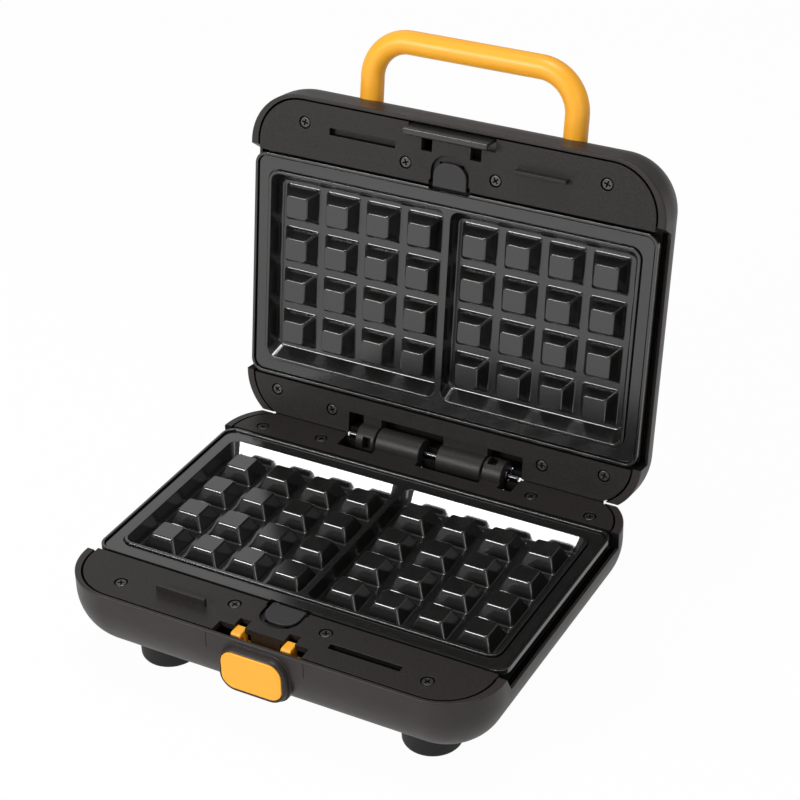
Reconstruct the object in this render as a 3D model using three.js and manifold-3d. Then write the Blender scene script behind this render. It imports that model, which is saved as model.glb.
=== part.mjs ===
import * as THREE from 'three';
import { mergeVertices } from 'three/addons/utils/BufferGeometryUtils.js';
import Module from 'manifold-3d';

// A sandwich and waffle maker, open, in millimetres. Its two halves are alike, so both are drawn the way
// the base lies: x to the right, y from front to back, z up, with the rims of the waffle plates at z = 0.
// The lid half is the same half turned over about the y axis, hinged at the back and swung open.

const wasm = await Module();
wasm.setup();

// Driving dimensions.
const openDegrees = 98.2;
const closedGap = 1.0;
const seatGap = 0.3;
const overrun = 1.0;
const roundSteps = 5;
const roundSides = 20;
const smallSides = 8;

const shellSize = {
  halfWidth: 116.1,
  front: -55.0,
  rear: 125.3,
  frontCorner: 29.3,
  rearCorner: 16.5,
  cornerShrinkShare: 0.72,
  straight: 9.0,
  roundHeight: 29.0,
  roundRun: 25.0,
  rimWall: 3.4,
  floorWall: 2.8,
  thinWall: 2.1,
  recessBeforePlate: 3.6,
  recessBehindPlate: 0.3,
};

// How far the waffle plates stand in from the shell, their ridges from their edges, and the studs from the ridges.
const plateMargin = {
  side: 2.8,
  front: 34.1,
  rear: 21.6,
  ridgeSide: 8.3,
  ridgeEnd: 8.9,
  studX: 3.2,
  studY: 2.405,
};

const plateHalfWidth = shellSize.halfWidth - plateMargin.side;
const plateFront = shellSize.front + plateMargin.front;
const plateRear = shellSize.rear - plateMargin.rear;
const plateHalfLength = (plateRear - plateFront) / 2;

const plateSize = {
  halfWidth: plateHalfWidth,
  halfLength: plateHalfLength,
  centreY: (plateFront + plateRear) / 2,
  corner: 7.0,
  flange: 3.0,
  rimWidth: 1.5,
  bandDepth: 1.2,
  ridgeHalfWidth: plateHalfWidth - plateMargin.ridgeSide,
  ridgeHalfLength: plateHalfLength - plateMargin.ridgeEnd,
  ridgeCorner: 6.0,
  ridgeWidth: 1.5,
  dividerHalf: 1.7,
  cavityDepth: 7.65,
  cavityCorner: 5.0,
  floorCorner: 3.5,
  sideRun: 2.8,
  endRun: 4.7,
  dividerRun: 1.2,
  floorWall: 2.0,
  bodyMargin: 1.5,
  columns: 4,
  rows: 4,
  channelX: 4.6,
  channelY: 4.53,
  slopeX: 3.45,
  slopeY: 3.5,
  notchHalf: 11.4,
  notchDepth: 2.0,
};

const frameSize = {
  rimGap: 0.35,
  deck: 3.0,
  wellGap: 1.2,
  wellWall: 2.4,
  ledge: 2.4,
  ledgeMargin: 0.9,
  ledgeSide: 13.3,
  ledgeEnd: 12.8,
  ribBehindFront: 12.35,
  ribPlaceShare: 0.4288,
  ribLengthShare: 0.4746,
  ribWidth: 2.0,
  ribHeight: 4.2,
  slotLengthShare: 0.6441,
  slotWidth: 2.8,
  webThickness: 2.0,
};

const screwSize = {
  headRadius: 2.9,
  headHeight: 1.5,
  headEase: 0.5,
  sunk: 0.3,
  shankRadius: 1.5,
  shankLength: 12.0,
  bossRadius: 4.0,
};

// How far the frame screws stand from the frame's edges, the plate's well, the middle and the hinge.
const screwMargin = {
  frontSide: 28.15,
  frontEdge: 10.25,
  middle: 25.2,
  well: 8.9,
  rearSide: 15.75,
  rearEdge: 9.55,
  hingeSide: 10.7,
  hingeEdge: 6.05,
};

// How far the hinge's pieces stand from the ends of its window, and the window from the shell's rear.
const hingeMargin = {
  window: 11.5,
  pin: 1.5,
  knuckle: 8.5,
  knuckleFar: 19.5,
  pocket: 12.9,
  pocketFar: 17.8,
  bigKnuckle: 20.5,
};

const hingeWindowHalf = 51.5;
const hingeSize = {
  behindRear: 0.67,
  barrelRadius: 7.7,
  pinRadius: 1.6,
  pinHalf: hingeWindowHalf - hingeMargin.pin,
  windowHalf: hingeWindowHalf,
  windowFront: shellSize.rear - hingeMargin.window,
  windowDepth: 10.0,
  housingWall: 2.0,
  bigStart: hingeMargin.bigKnuckle - hingeWindowHalf,
  bigEnd: -5.0,
  smallStart: hingeWindowHalf - hingeMargin.knuckleFar,
  smallEnd: hingeWindowHalf - hingeMargin.knuckle,
  armTop: -0.6,
  armBottom: -6.5,
  pocketStart: hingeWindowHalf - hingeMargin.pocketFar,
  pocketEnd: hingeWindowHalf - hingeMargin.pocket,
  pocketLength: 7.2,
  pocketFloor: 3.1,
  clipThickness: 1.2,
  clipRadius: 3.6,
};

// How far behind the shell's front face the latch's parts stand.
const latchRun = {
  recess: 9.6,
  hookTip: 5.4,
  stemFront: 9.0,
  stemRear: 12.6,
  web: 23.0,
  buttonProud: 4.0,
};

const latchSize = {
  recessHalf: 24.4,
  recessRear: shellSize.front + latchRun.recess,
  hookX: 13.7,
  hookWidth: 5.5,
  hookTop: -1.5,
  hookUnder: -4.1,
  hookTip: shellSize.front + latchRun.hookTip,
  hookChamfer: 2.0,
  stemFront: shellSize.front + latchRun.stemFront,
  stemRear: shellSize.front + latchRun.stemRear,
  travel: 3.0,
  barHalf: 20.0,
  barTop: -9.2,
  barBottom: -24.0,
  buttonHalf: 17.8,
  buttonHeight: 22.6,
  buttonCorner: 7.3,
  buttonZ: -15.0,
  buttonFace: shellSize.front - latchRun.buttonProud,
  buttonThickness: 2.5,
  buttonEase: 0.8,
  neckHalf: 13.5,
  openingGap: 0.6,
  bezelHalf: 22.0,
  bezelTop: -0.8,
  bezelBottom: -29.8,
  bezelCorner: 11.0,
  bezelProud: 2.2,
  bezelEase: 1.6,
  springX: 16.5,
  springZ: -20.0,
  springRadius: 3.0,
  springWire: 0.8,
  webInner: 13.4,
  webOuter: 20.0,
  webFront: shellSize.front + latchRun.web,
  webBottom: -25.0,
};

// How far behind the shell's front face the strike's parts stand.
const strikeRun = {
  front: 3.2,
  neckRear: 4.9,
  lipRear: 7.0,
  tabRear: 15.0,
};

const strikeSize = {
  half: 23.4,
  front: shellSize.front + strikeRun.front,
  neckRear: shellSize.front + strikeRun.neckRear,
  lipRear: shellSize.front + strikeRun.lipRear,
  reach: 8.6,
  lipHeight: 3.2,
  footDepth: 9.0,
  tabInner: 17.5,
  tabThickness: 3.0,
  tabRear: shellSize.front + strikeRun.tabRear,
};

// How far in front of the waffle plate the release button's parts stand.
const releaseRun = {
  faceRear: 2.6,
  faceFront: 14.1,
  well: 17.7,
  neck: 12.1,
  guideFront: 13.1,
  guideRear: 4.1,
  web: 24.0,
};

const releaseSize = {
  faceHalf: 9.3,
  faceRear: plateFront - releaseRun.faceRear,
  faceFront: plateFront - releaseRun.faceFront,
  faceCorner: 7.5,
  faceThickness: 1.7,
  rearCorner: 0.5,
  travel: 3.0,
  wellHalf: 10.7,
  wellFront: plateFront - releaseRun.well,
  wellCorner: 9.0,
  shelfDepth: 2.0,
  neckHalf: 6.6,
  neckFront: plateFront - releaseRun.neck,
  guideHalf: 12.0,
  guideFront: plateFront - releaseRun.guideFront,
  guideRear: plateFront - releaseRun.guideRear,
  guideBottom: -7.4,
  tongueHalf: 11.0,
  tongueTop: -1.5,
  tongueThickness: 2.8,
  springRadius: 2.0,
  springWire: 0.6,
  springZ: -5.6,
  webHalf: 8.0,
  webFront: plateFront - releaseRun.web,
  webBottom: -8.4,
};

// How far in from the shell's edges the feet stand.
const footMargin = {
  side: 41.6,
  end: 36.4,
};

const footSize = {
  x: shellSize.halfWidth - footMargin.side,
  frontY: shellSize.front + footMargin.end,
  rearY: shellSize.rear - footMargin.end,
  radius: 15.0,
  bottomRadius: 13.7,
  ease: 3.0,
  height: 16.6,
  stemRadius: 4.0,
  stemHead: 2.0,
};

// How far in front of the shell the handle reaches, and how far behind its face the roots and sockets stand.
const handleRun = {
  reach: 31.5,
  root: 11.0,
  socket: 3.5,
};

const handleSize = {
  legX: 57.3,
  barY: shellSize.front - handleRun.reach,
  z: -21.2,
  radius: 5.6,
  bend: 19.0,
  rootY: shellSize.front + handleRun.root,
  steps: 40,
  sides: 12,
  socketWall: 2.7,
  socketFloor: 3.0,
  socketFront: shellSize.front + handleRun.socket,
  screwDepth: 10.0,
};

// The opening under the plate, and how the element and its tray keep to it.
const ledgeHalfWidth = plateHalfWidth - frameSize.ledgeSide;
const ledgeHalfLength = plateHalfLength - frameSize.ledgeEnd;
const heaterMargin = {
  gauge: 18.5,
  bend: 42.0,
  end: 6.0,
  tray: 3.0,
};

const elementSize = {
  radius: 3.25,
  halfGauge: ledgeHalfLength - heaterMargin.gauge,
  bendX: heaterMargin.bend - ledgeHalfWidth,
  endX: ledgeHalfWidth + heaterMargin.end,
  steps: 36,
  sides: 8,
};

const traySize = {
  halfWidth: ledgeHalfWidth + heaterMargin.tray,
  halfLength: ledgeHalfLength + heaterMargin.tray,
  depth: 7.6,
  wall: 1.0,
  postX: ledgeHalfWidth / 2,
  postHalf: 2.5,
};

// How far the terminal block stands from the left rear foot.
const blockMargin = {
  x: 12.5,
  y: 10.9,
};

const insideSize = {
  thermostatRadius: 9.0,
  thermostatHeight: 8.0,
  fuseRadius: 3.0,
  fuseLength: 22.0,
  blockX: blockMargin.x - footSize.x,
  blockY: footSize.rearY - blockMargin.y,
  blockHalfX: 16.0,
  blockHalfY: 6.0,
  blockHeight: 9.0,
  blockWays: 3,
  blockBore: 1.8,
};

const glandSize = {
  placeShare: 0.5756,
  z: -17.0,
  bore: 3.6,
  neckRadius: 5.6,
  flangeRadius: 8.0,
  flange: 2.2,
  insideLength: 4.0,
};

const lampMargin = 47.0;
const lampSize = {
  x: 9.0,
  y: shellSize.front + lampMargin,
  radius: 3.2,
  rimRadius: 4.2,
  proud: 0.9,
  depth: 6.0,
};

// Values worked out from the driving dimensions.
const shellDepth = shellSize.straight + shellSize.roundHeight;
const floorInside = -(shellDepth - shellSize.floorWall);
const deckFront = shellSize.front + shellSize.rimWall + frameSize.rimGap;
const deckRear = shellSize.rear - shellSize.rimWall - frameSize.rimGap;
const deckHalf = shellSize.halfWidth - shellSize.rimWall - frameSize.rimGap;
const plateUnderside = -(plateSize.cavityDepth + plateSize.floorWall);
const wellFront = plateFront - frameSize.wellGap;
const wellRear = plateRear + frameSize.wellGap;
const ledgeTop = plateUnderside - seatGap;
const ledgeBottom = ledgeTop - frameSize.ledge;
const hingeY = shellSize.rear + hingeSize.behindRear;
const hingeZ = closedGap / 2;
const elementZ = plateUnderside - seatGap - elementSize.radius;
const trayTop = ledgeBottom - seatGap;
const trayBottom = trayTop - traySize.depth;
const socketRear = handleSize.rootY + seatGap + handleSize.socketFloor;
const openRadians = THREE.MathUtils.degToRad(openDegrees);
const quarterTurn = Math.PI / 2;

// Where the eight screws of each frame stand.
const frontScrewX = deckHalf - screwMargin.frontSide;
const frontScrewY = deckFront + screwMargin.frontEdge;
const innerScrewY = wellFront - screwMargin.well;
const rearScrewX = deckHalf - screwMargin.rearSide;
const rearScrewY = deckRear - screwMargin.rearEdge;
const hingeScrewX = hingeSize.windowHalf + screwMargin.hingeSide;
const hingeScrewY = deckRear - screwMargin.hingeEdge;
const screwPlaces = [
  { x: -frontScrewX, y: frontScrewY },
  { x: -screwMargin.middle, y: innerScrewY },
  { x: screwMargin.middle, y: innerScrewY },
  { x: frontScrewX, y: frontScrewY },
  { x: -rearScrewX, y: rearScrewY },
  { x: -hingeScrewX, y: hingeScrewY },
  { x: hingeScrewX, y: hingeScrewY },
  { x: rearScrewX, y: rearScrewY },
];

// The cord's inlet lies between the left rear screws.
const glandX = -(hingeScrewX + (rearScrewX - hingeScrewX) * glandSize.placeShare);

// The alignment rib and slot lie between the front screws of their side.
const ribRoom = frontScrewX - screwMargin.middle;
const ribX = -(screwMargin.middle + ribRoom * frameSize.ribPlaceShare);
const ribY = deckFront + frameSize.ribBehindFront;
const ribLength = ribRoom * frameSize.ribLengthShare;
const slotLength = ribRoom * frameSize.slotLengthShare;

// Solids.

function solid(geometry) {
  const plain = geometry.clone();
  plain.deleteAttribute('normal');
  plain.deleteAttribute('uv');
  const merged = mergeVertices(plain);
  const vertProperties = Float32Array.from(merged.attributes.position.array);
  const triVerts = Uint32Array.from(merged.index.array);
  return new wasm.Manifold(new wasm.Mesh({ numProp: 3, vertProperties, triVerts }));
}

function join(parts) {
  return parts.reduce((whole, part) => whole.add(part));
}

function cut(body, cutters) {
  return cutters.reduce((rest, cutter) => rest.subtract(cutter), body);
}

function box(x0, x1, y0, y1, z0, z1) {
  const geometry = new THREE.BoxGeometry(x1 - x0, y1 - y0, z1 - z0);
  geometry.translate((x0 + x1) / 2, (y0 + y1) / 2, (z0 + z1) / 2);
  return solid(geometry);
}

function rodAlongX(radius, x0, x1, y, z, sides = roundSides) {
  const geometry = new THREE.CylinderGeometry(radius, radius, x1 - x0, sides);
  geometry.rotateZ(quarterTurn);
  geometry.translate((x0 + x1) / 2, y, z);
  return solid(geometry);
}

function rodAlongY(radius, x, y0, y1, z, sides = roundSides) {
  const geometry = new THREE.CylinderGeometry(radius, radius, y1 - y0, sides);
  geometry.translate(x, (y0 + y1) / 2, z);
  return solid(geometry);
}

function rodAlongZ(radius, x, y, z0, z1, sides = roundSides) {
  const geometry = new THREE.CylinderGeometry(radius, radius, z1 - z0, sides);
  geometry.rotateX(quarterTurn);
  geometry.translate(x, y, (z0 + z1) / 2);
  return solid(geometry);
}

// A turned solid about the z axis: the profile is a list of [radius, height] from bottom to top.
function turned(profile, sides = roundSides) {
  const points = profile.map(([radius, height]) => new THREE.Vector2(radius, height));
  const geometry = new THREE.LatheGeometry(points, sides);
  geometry.rotateX(quarterTurn);
  return geometry;
}

// One level of a rounded rectangle, counterclockwise seen from above.
function ring(x0, x1, y0, y1, frontCorner, rearCorner, z) {
  const corners = [
    { x: x1 - frontCorner, y: y0 + frontCorner, radius: frontCorner, turn: -1 },
    { x: x1 - rearCorner, y: y1 - rearCorner, radius: rearCorner, turn: 0 },
    { x: x0 + rearCorner, y: y1 - rearCorner, radius: rearCorner, turn: 1 },
    { x: x0 + frontCorner, y: y0 + frontCorner, radius: frontCorner, turn: 2 },
  ];
  const points = [];
  for (const { x, y, radius, turn } of corners) {
    for (let step = 0; step <= roundSteps; step += 1) {
      const angle = (turn + step / roundSteps) * quarterTurn;
      points.push([x + radius * Math.cos(angle), y + radius * Math.sin(angle), z]);
    }
  }
  return points;
}

function squareRing(x, y, halfX, halfY, z) {
  return [[x - halfX, y - halfY, z], [x + halfX, y - halfY, z], [x + halfX, y + halfY, z], [x - halfX, y + halfY, z]];
}

// A convex solid through rings of equal count, listed from bottom to top.
function lofted(rings) {
  const count = rings[0].length;
  const index = [];
  for (let level = 0; level + 1 < rings.length; level += 1) {
    for (let i = 0; i < count; i += 1) {
      const a = level * count + i;
      const b = level * count + (i + 1) % count;
      index.push(a, b, b + count, a, b + count, a + count);
    }
  }
  const top = (rings.length - 1) * count;
  for (let i = 1; i + 1 < count; i += 1) {
    index.push(0, i + 1, i, top, top + i, top + i + 1);
  }
  const geometry = new THREE.BufferGeometry();
  geometry.setAttribute('position', new THREE.Float32BufferAttribute(rings.flat(2), 3));
  geometry.setIndex(index);
  return geometry;
}

function prism(x0, x1, y0, y1, frontCorner, rearCorner, z0, z1) {
  const levels = [z0, z1].map((z) => ring(x0, x1, y0, y1, frontCorner, rearCorner, z));
  return solid(lofted(levels));
}

// Turns a geometry drawn upwards into one drawn towards the front, its z becoming -y and its y becoming z.
function facingFront(geometry, x, y, z) {
  geometry.rotateX(quarterTurn);
  geometry.translate(x, y, z);
  return solid(geometry);
}

function tube(path, radius, steps, sides) {
  const section = new THREE.Shape();
  for (let i = 0; i < sides; i += 1) {
    const angle = 4 * quarterTurn * i / sides;
    const place = [radius * Math.cos(angle), radius * Math.sin(angle)];
    if (i === 0) {
      section.moveTo(...place);
    } else {
      section.lineTo(...place);
    }
  }
  section.closePath();
  return solid(new THREE.ExtrudeGeometry(section, { steps, extrudePath: path, bevelEnabled: false }));
}

// Joins straight and curved stretches into one path.
function pathWithArcs(segments) {
  const path = new THREE.CurvePath();
  for (const segment of segments) {
    path.add(segment);
  }
  return path;
}

class PlaneArc extends THREE.Curve {
  constructor(x, y, z, radius, from, sweep) {
    super();
    Object.assign(this, { x, y, z, radius, from, sweep });
  }

  getPoint(t, target = new THREE.Vector3()) {
    const angle = this.from + this.sweep * t;
    return target.set(this.x + this.radius * Math.cos(angle), this.y + this.radius * Math.sin(angle), this.z);
  }
}

function lineFrom(x0, y0, x1, y1, z) {
  return new THREE.LineCurve3(new THREE.Vector3(x0, y0, z), new THREE.Vector3(x1, y1, z));
}

// Meshes.

function finish(color, roughness, metalness) {
  return { color, roughness, metalness };
}

const casing = finish(0x4a4846, 0.5, 0.0);
const panel = finish(0x454341, 0.55, 0.0);
const nonStick = finish(0x3a3937, 0.35, 0.3);
const orange = finish(0xf5a11a, 0.45, 0.0);
const steel = finish(0x8d8c8a, 0.35, 0.9);
const darkSteel = finish(0x4c4b49, 0.4, 0.8);
const galvanised = finish(0xb9bbbd, 0.35, 0.9);
const rubber = finish(0x1e1e1e, 0.8, 0.0);
const blackPlastic = finish(0x222222, 0.6, 0.0);
const cream = finish(0xe4ded0, 0.5, 0.0);
const redLens = finish(0xb3170f, 0.2, 0.0);
const greenLens = finish(0x1c8a3a, 0.2, 0.0);

function addPiece(group, name, body, look) {
  const cutMesh = body.getMesh();
  const geometry = new THREE.BufferGeometry();
  geometry.setAttribute('position', new THREE.BufferAttribute(Float32Array.from(cutMesh.vertProperties), 3));
  geometry.setIndex(new THREE.BufferAttribute(Uint32Array.from(cutMesh.triVerts), 1));
  geometry.computeVertexNormals();
  const mesh = new THREE.Mesh(geometry, new THREE.MeshStandardMaterial(look));
  mesh.name = name;
  group.add(mesh);
}

// Shells.

function shellRing(inset, z, margin) {
  const share = 1 - shellSize.cornerShrinkShare * inset / shellSize.roundRun;
  return ring(
    -shellSize.halfWidth + inset + margin,
    shellSize.halfWidth - inset - margin,
    shellSize.front + inset + margin,
    shellSize.rear - inset - margin,
    (shellSize.frontCorner - margin) * share,
    (shellSize.rearCorner - margin) * share,
    z,
  );
}

function bowl(margin, floorRise, top) {
  const rise = shellSize.roundHeight - floorRise;
  const run = shellSize.roundRun - margin + floorRise;
  const rings = [];
  for (let step = 0; step <= roundSteps; step += 1) {
    const angle = quarterTurn * (1 - step / roundSteps);
    const z = -shellSize.straight - rise * Math.sin(angle);
    rings.push(shellRing(run * (1 - Math.cos(angle)), z, margin));
  }
  rings.push(shellRing(0, top, margin));
  return solid(lofted(rings));
}

function shellHollow() {
  return bowl(shellSize.rimWall, shellSize.floorWall, overrun);
}

function screwBosses() {
  return screwPlaces.map(({ x, y }) => {
    const top = -frameSize.deck - seatGap;
    return rodAlongZ(screwSize.bossRadius, x, y, -shellDepth, top, smallSides);
  });
}

function screwBores() {
  const bore = screwSize.shankRadius + seatGap;
  const bottom = -screwSize.sunk - screwSize.headHeight - screwSize.shankLength - overrun;
  return screwPlaces.map(({ x, y }) => rodAlongZ(bore, x, y, bottom, overrun, smallSides));
}

function sideRecesses() {
  const outer = shellSize.halfWidth + overrun;
  const inner = deckHalf - frameSize.rimGap;
  const front = plateFront - shellSize.recessBeforePlate;
  const rear = plateRear + shellSize.recessBehindPlate;
  return [-1, 1].map((side) => {
    const edges = [side * inner, side * outer].sort((a, b) => a - b);
    return box(edges[0], edges[1], front, rear, -shellSize.straight, overrun);
  });
}

function hingeWindow(top) {
  const rear = shellSize.rear + overrun;
  const { windowHalf, windowFront, windowDepth } = hingeSize;
  return box(-windowHalf, windowHalf, windowFront, rear, -windowDepth, top);
}

function latchThinning() {
  const front = shellSize.front + shellSize.thinWall;
  const depth = strikeSize.footDepth + overrun;
  return box(-latchSize.recessHalf, latchSize.recessHalf, front, deckFront, -depth, overrun);
}

function plainShell(extraBodies) {
  const outer = bowl(0, 0, 0);
  const hollow = shellHollow();
  const bosses = join([...screwBosses(), ...extraBodies]).intersect(outer);
  const cutters = [...screwBores(), ...sideRecesses(), hingeWindow(overrun), latchThinning()];
  return cut(outer.subtract(hollow).add(bosses), cutters);
}

// The soft collar round the latch button, drawn on the front wall.
function latchBezel() {
  const { bezelHalf, bezelTop, bezelBottom, bezelCorner, bezelProud, bezelEase } = latchSize;
  const levels = [
    { inset: 0, out: shellSize.front - latchSize.stemFront },
    { inset: 0, out: 0 },
    { inset: bezelEase, out: bezelProud },
  ];
  const rings = levels.map(({ inset, out }) => {
    const half = bezelHalf - inset;
    const corner = bezelCorner - inset;
    return ring(-half, half, bezelBottom + inset, bezelTop - inset, corner, corner, out);
  });
  const collar = facingFront(lofted(rings), 0, shellSize.front, 0);
  return collar.subtract(shellHollow());
}

function latchOpening() {
  const { buttonHalf, buttonHeight, buttonCorner, buttonZ, openingGap, bezelProud } = latchSize;
  const half = buttonHalf + openingGap;
  const halfHeight = buttonHeight / 2 + openingGap;
  const corner = buttonCorner + openingGap;
  const front = bezelProud + overrun;
  const levels = [shellSize.front - latchSize.stemRear, front];
  const rings = levels.map((out) => ring(-half, half, buttonZ - halfHeight, buttonZ + halfHeight, corner, corner, out));
  return facingFront(lofted(rings), 0, shellSize.front, 0);
}

function footPlaces() {
  const { x, frontY, rearY } = footSize;
  return [
    { name: 'foot_front_left', x: -x, y: frontY },
    { name: 'foot_front_right', x, y: frontY },
    { name: 'foot_rear_left', x: -x, y: rearY },
    { name: 'foot_rear_right', x, y: rearY },
  ];
}

function baseShell() {
  const bezel = latchBezel();
  const body = plainShell([]).add(bezel);
  const footBores = footPlaces().map(({ x, y }) => {
    const radius = footSize.stemRadius + seatGap;
    return rodAlongZ(radius, x, y, -shellDepth - overrun, floorInside + overrun);
  });
  const glandBore = rodAlongY(
    glandSize.neckRadius + seatGap,
    glandX,
    deckRear - shellSize.roundRun / 2,
    shellSize.rear + overrun,
    glandSize.z,
  );
  return cut(body, [latchOpening(), latchThinning(), ...footBores, glandBore]);
}

function handleSockets() {
  const { legX, z, radius, socketWall, socketFront } = handleSize;
  return [-legX, legX].map((x) => rodAlongY(radius + seatGap + socketWall, x, socketFront, socketRear, z));
}

function handleBores() {
  const { legX, z, radius, rootY } = handleSize;
  const screwBore = screwSize.shankRadius + seatGap;
  return [-legX, legX].flatMap((x) => [
    rodAlongY(radius + seatGap, x, shellSize.front - overrun, rootY + seatGap, z),
    rodAlongY(screwBore, x, rootY, socketRear + overrun, z, smallSides),
  ]);
}

function lampBores() {
  const radius = lampSize.radius + seatGap;
  return [-lampSize.x, lampSize.x].map((x) => {
    return rodAlongZ(radius, x, lampSize.y, -shellDepth - overrun, floorInside + overrun, smallSides);
  });
}

function lidShell() {
  return cut(plainShell(handleSockets()), [...handleBores(), ...lampBores()]);
}

// Inner frames.

function deckPrism(z0, z1) {
  const inset = shellSize.rimWall + frameSize.rimGap;
  const front = shellSize.frontCorner - inset;
  const rear = shellSize.rearCorner - inset;
  return prism(-deckHalf, deckHalf, deckFront, deckRear, front, rear, z0, z1);
}

function decks() {
  const wide = shellSize.halfWidth;
  const well = box(-wide, wide, wellFront, wellRear, -shellDepth, overrun);
  return deckPrism(-frameSize.deck, 0).subtract(well);
}

function wellWalls() {
  const { wellWall, ledgeMargin } = frameSize;
  const half = deckHalf - ledgeMargin;
  const front = wellFront - wellWall;
  const rear = wellRear + wellWall;
  const outer = box(-half, half, front, rear, ledgeBottom, -frameSize.deck / 2);
  const room = box(-deckHalf, deckHalf, wellFront, wellRear, ledgeTop, overrun);
  const { centreY } = plateSize;
  const low = centreY - ledgeHalfLength;
  const high = centreY + ledgeHalfLength;
  const opening = box(-ledgeHalfWidth, ledgeHalfWidth, low, high, ledgeBottom - overrun, ledgeTop + overrun);
  return cut(outer, [room, opening]);
}

// The ends of the heating element pass the ledge through these.
function elementNotches() {
  const { radius, halfGauge, endX } = elementSize;
  const half = radius + seatGap;
  const inner = ledgeHalfWidth - overrun;
  return [-halfGauge, halfGauge].map((side) => {
    const y = plateSize.centreY + side;
    return box(inner, endX + seatGap, y - half, y + half, ledgeBottom - overrun, ledgeTop + overrun);
  });
}

function hingeHousing() {
  const { windowHalf, windowFront, windowDepth, housingWall } = hingeSize;
  const half = windowHalf + housingWall;
  const front = windowFront - housingWall;
  const rear = deckRear - frameSize.rimGap;
  return box(-half, half, front, rear, -windowDepth - housingWall, -frameSize.deck / 2);
}

function knuckle(start, end) {
  const { barrelRadius, windowFront, housingWall, armTop, armBottom } = hingeSize;
  const barrel = rodAlongX(barrelRadius, start, end, hingeY, hingeZ);
  const arm = box(start, end, windowFront - housingWall / 2, hingeY, armBottom, armTop);
  return barrel.add(arm);
}

function knuckles() {
  const { bigStart, bigEnd, smallStart, smallEnd, pinRadius, pocketStart, pocketEnd, pocketLength } = hingeSize;
  const bore = rodAlongX(pinRadius + seatGap, bigStart - overrun, smallEnd + overrun, hingeY, hingeZ, smallSides);
  const low = hingeY - pocketLength / 2;
  const high = hingeY + pocketLength / 2;
  const top = hingeZ + hingeSize.barrelRadius + overrun;
  const pocket = box(pocketStart, pocketEnd, low, high, hingeZ + hingeSize.pocketFloor, top);
  return cut(join([knuckle(bigStart, bigEnd), knuckle(smallStart, smallEnd)]), [bore, pocket]);
}

function screwRecesses() {
  const radius = screwSize.headRadius + seatGap;
  const floor = -screwSize.sunk - screwSize.headHeight - seatGap;
  return screwPlaces.map(({ x, y }) => rodAlongZ(radius, x, y, floor, overrun));
}

function alignmentRib() {
  const { ribWidth, ribHeight, deck } = frameSize;
  return box(
    ribX - ribLength / 2,
    ribX + ribLength / 2,
    ribY - ribWidth / 2,
    ribY + ribWidth / 2,
    -deck / 2,
    ribHeight,
  );
}

function alignmentSlot() {
  const { slotWidth, deck } = frameSize;
  return box(
    -ribX - slotLength / 2,
    -ribX + slotLength / 2,
    ribY - slotWidth / 2,
    ribY + slotWidth / 2,
    -deck - overrun,
    overrun,
  );
}

function latchCutouts() {
  const { recessHalf, recessRear, hookX, hookWidth, stemRear, travel } = latchSize;
  const low = -frameSize.deck - overrun;
  const recess = box(-recessHalf, recessHalf, shellSize.front, recessRear, low, overrun);
  const half = hookWidth / 2 + seatGap;
  const rear = stemRear + travel + seatGap;
  const notches = [-hookX, hookX].map((x) => box(x - half, x + half, recessRear - overrun, rear, low, overrun));
  return [recess, ...notches];
}

function releaseCutouts() {
  const { wellHalf, wellFront: archFront, wellCorner, shelfDepth, rearCorner, neckHalf, neckFront } = releaseSize;
  const { travel, tongueHalf, tongueTop, tongueThickness, faceRear } = releaseSize;
  const arch = prism(
    -wellHalf,
    wellHalf,
    archFront,
    wellFront + overrun,
    wellCorner,
    rearCorner,
    -shelfDepth,
    overrun,
  );
  const slotHalf = neckHalf + seatGap;
  const slotFront = neckFront - travel - seatGap;
  const slot = box(-slotHalf, slotHalf, slotFront, wellFront + overrun, -frameSize.deck - overrun, overrun);
  const mouthHalf = tongueHalf + 2 * seatGap;
  const mouthLow = tongueTop - tongueThickness - seatGap;
  const mouthFront = faceRear - travel - seatGap;
  const mouth = box(-mouthHalf, mouthHalf, mouthFront, wellFront + overrun, mouthLow, overrun);
  return [arch, slot, mouth];
}

function releaseWeb() {
  const { webHalf, webFront, webBottom } = releaseSize;
  return box(-webHalf, webHalf, webFront, webFront + frameSize.webThickness, webBottom, -frameSize.deck / 2);
}

function latchSpringWebs() {
  const { webInner, webOuter, webFront, webBottom } = latchSize;
  const rear = webFront + frameSize.webThickness;
  return [[-webOuter, -webInner], [webInner, webOuter]].map(([x0, x1]) => {
    return box(x0, x1, webFront, rear, webBottom, -frameSize.deck / 2);
  });
}

function innerFrame(extraBodies) {
  const body = join([decks(), wellWalls(), hingeHousing(), releaseWeb(), ...extraBodies]);
  const cutters = [
    hingeWindow(overrun),
    ...screwBores(),
    ...screwRecesses(),
    alignmentSlot(),
    ...latchCutouts(),
    ...releaseCutouts(),
    ...elementNotches(),
  ];
  return join([cut(body, cutters), alignmentRib(), knuckles()]);
}

// Waffle plates.

function cavity(side) {
  const p = plateSize;
  const outer = p.ridgeHalfWidth - p.ridgeWidth;
  const halfLength = p.ridgeHalfLength - p.ridgeWidth;
  const openEdges = [side * p.dividerHalf, side * outer].sort((a, b) => a - b);
  const floorEdges = [side * (p.dividerHalf + p.dividerRun), side * (outer - p.sideRun)].sort((a, b) => a - b);
  const floorHalf = halfLength - p.endRun;
  const y = p.centreY;
  const low = ring(...floorEdges, y - floorHalf, y + floorHalf, p.floorCorner, p.floorCorner, -p.cavityDepth);
  const high = ring(...openEdges, y - halfLength, y + halfLength, p.cavityCorner, p.cavityCorner, 0);
  const above = high.map(([px, py, pz]) => [px, py, pz + overrun]);
  return solid(lofted([low, high, above]));
}

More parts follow.
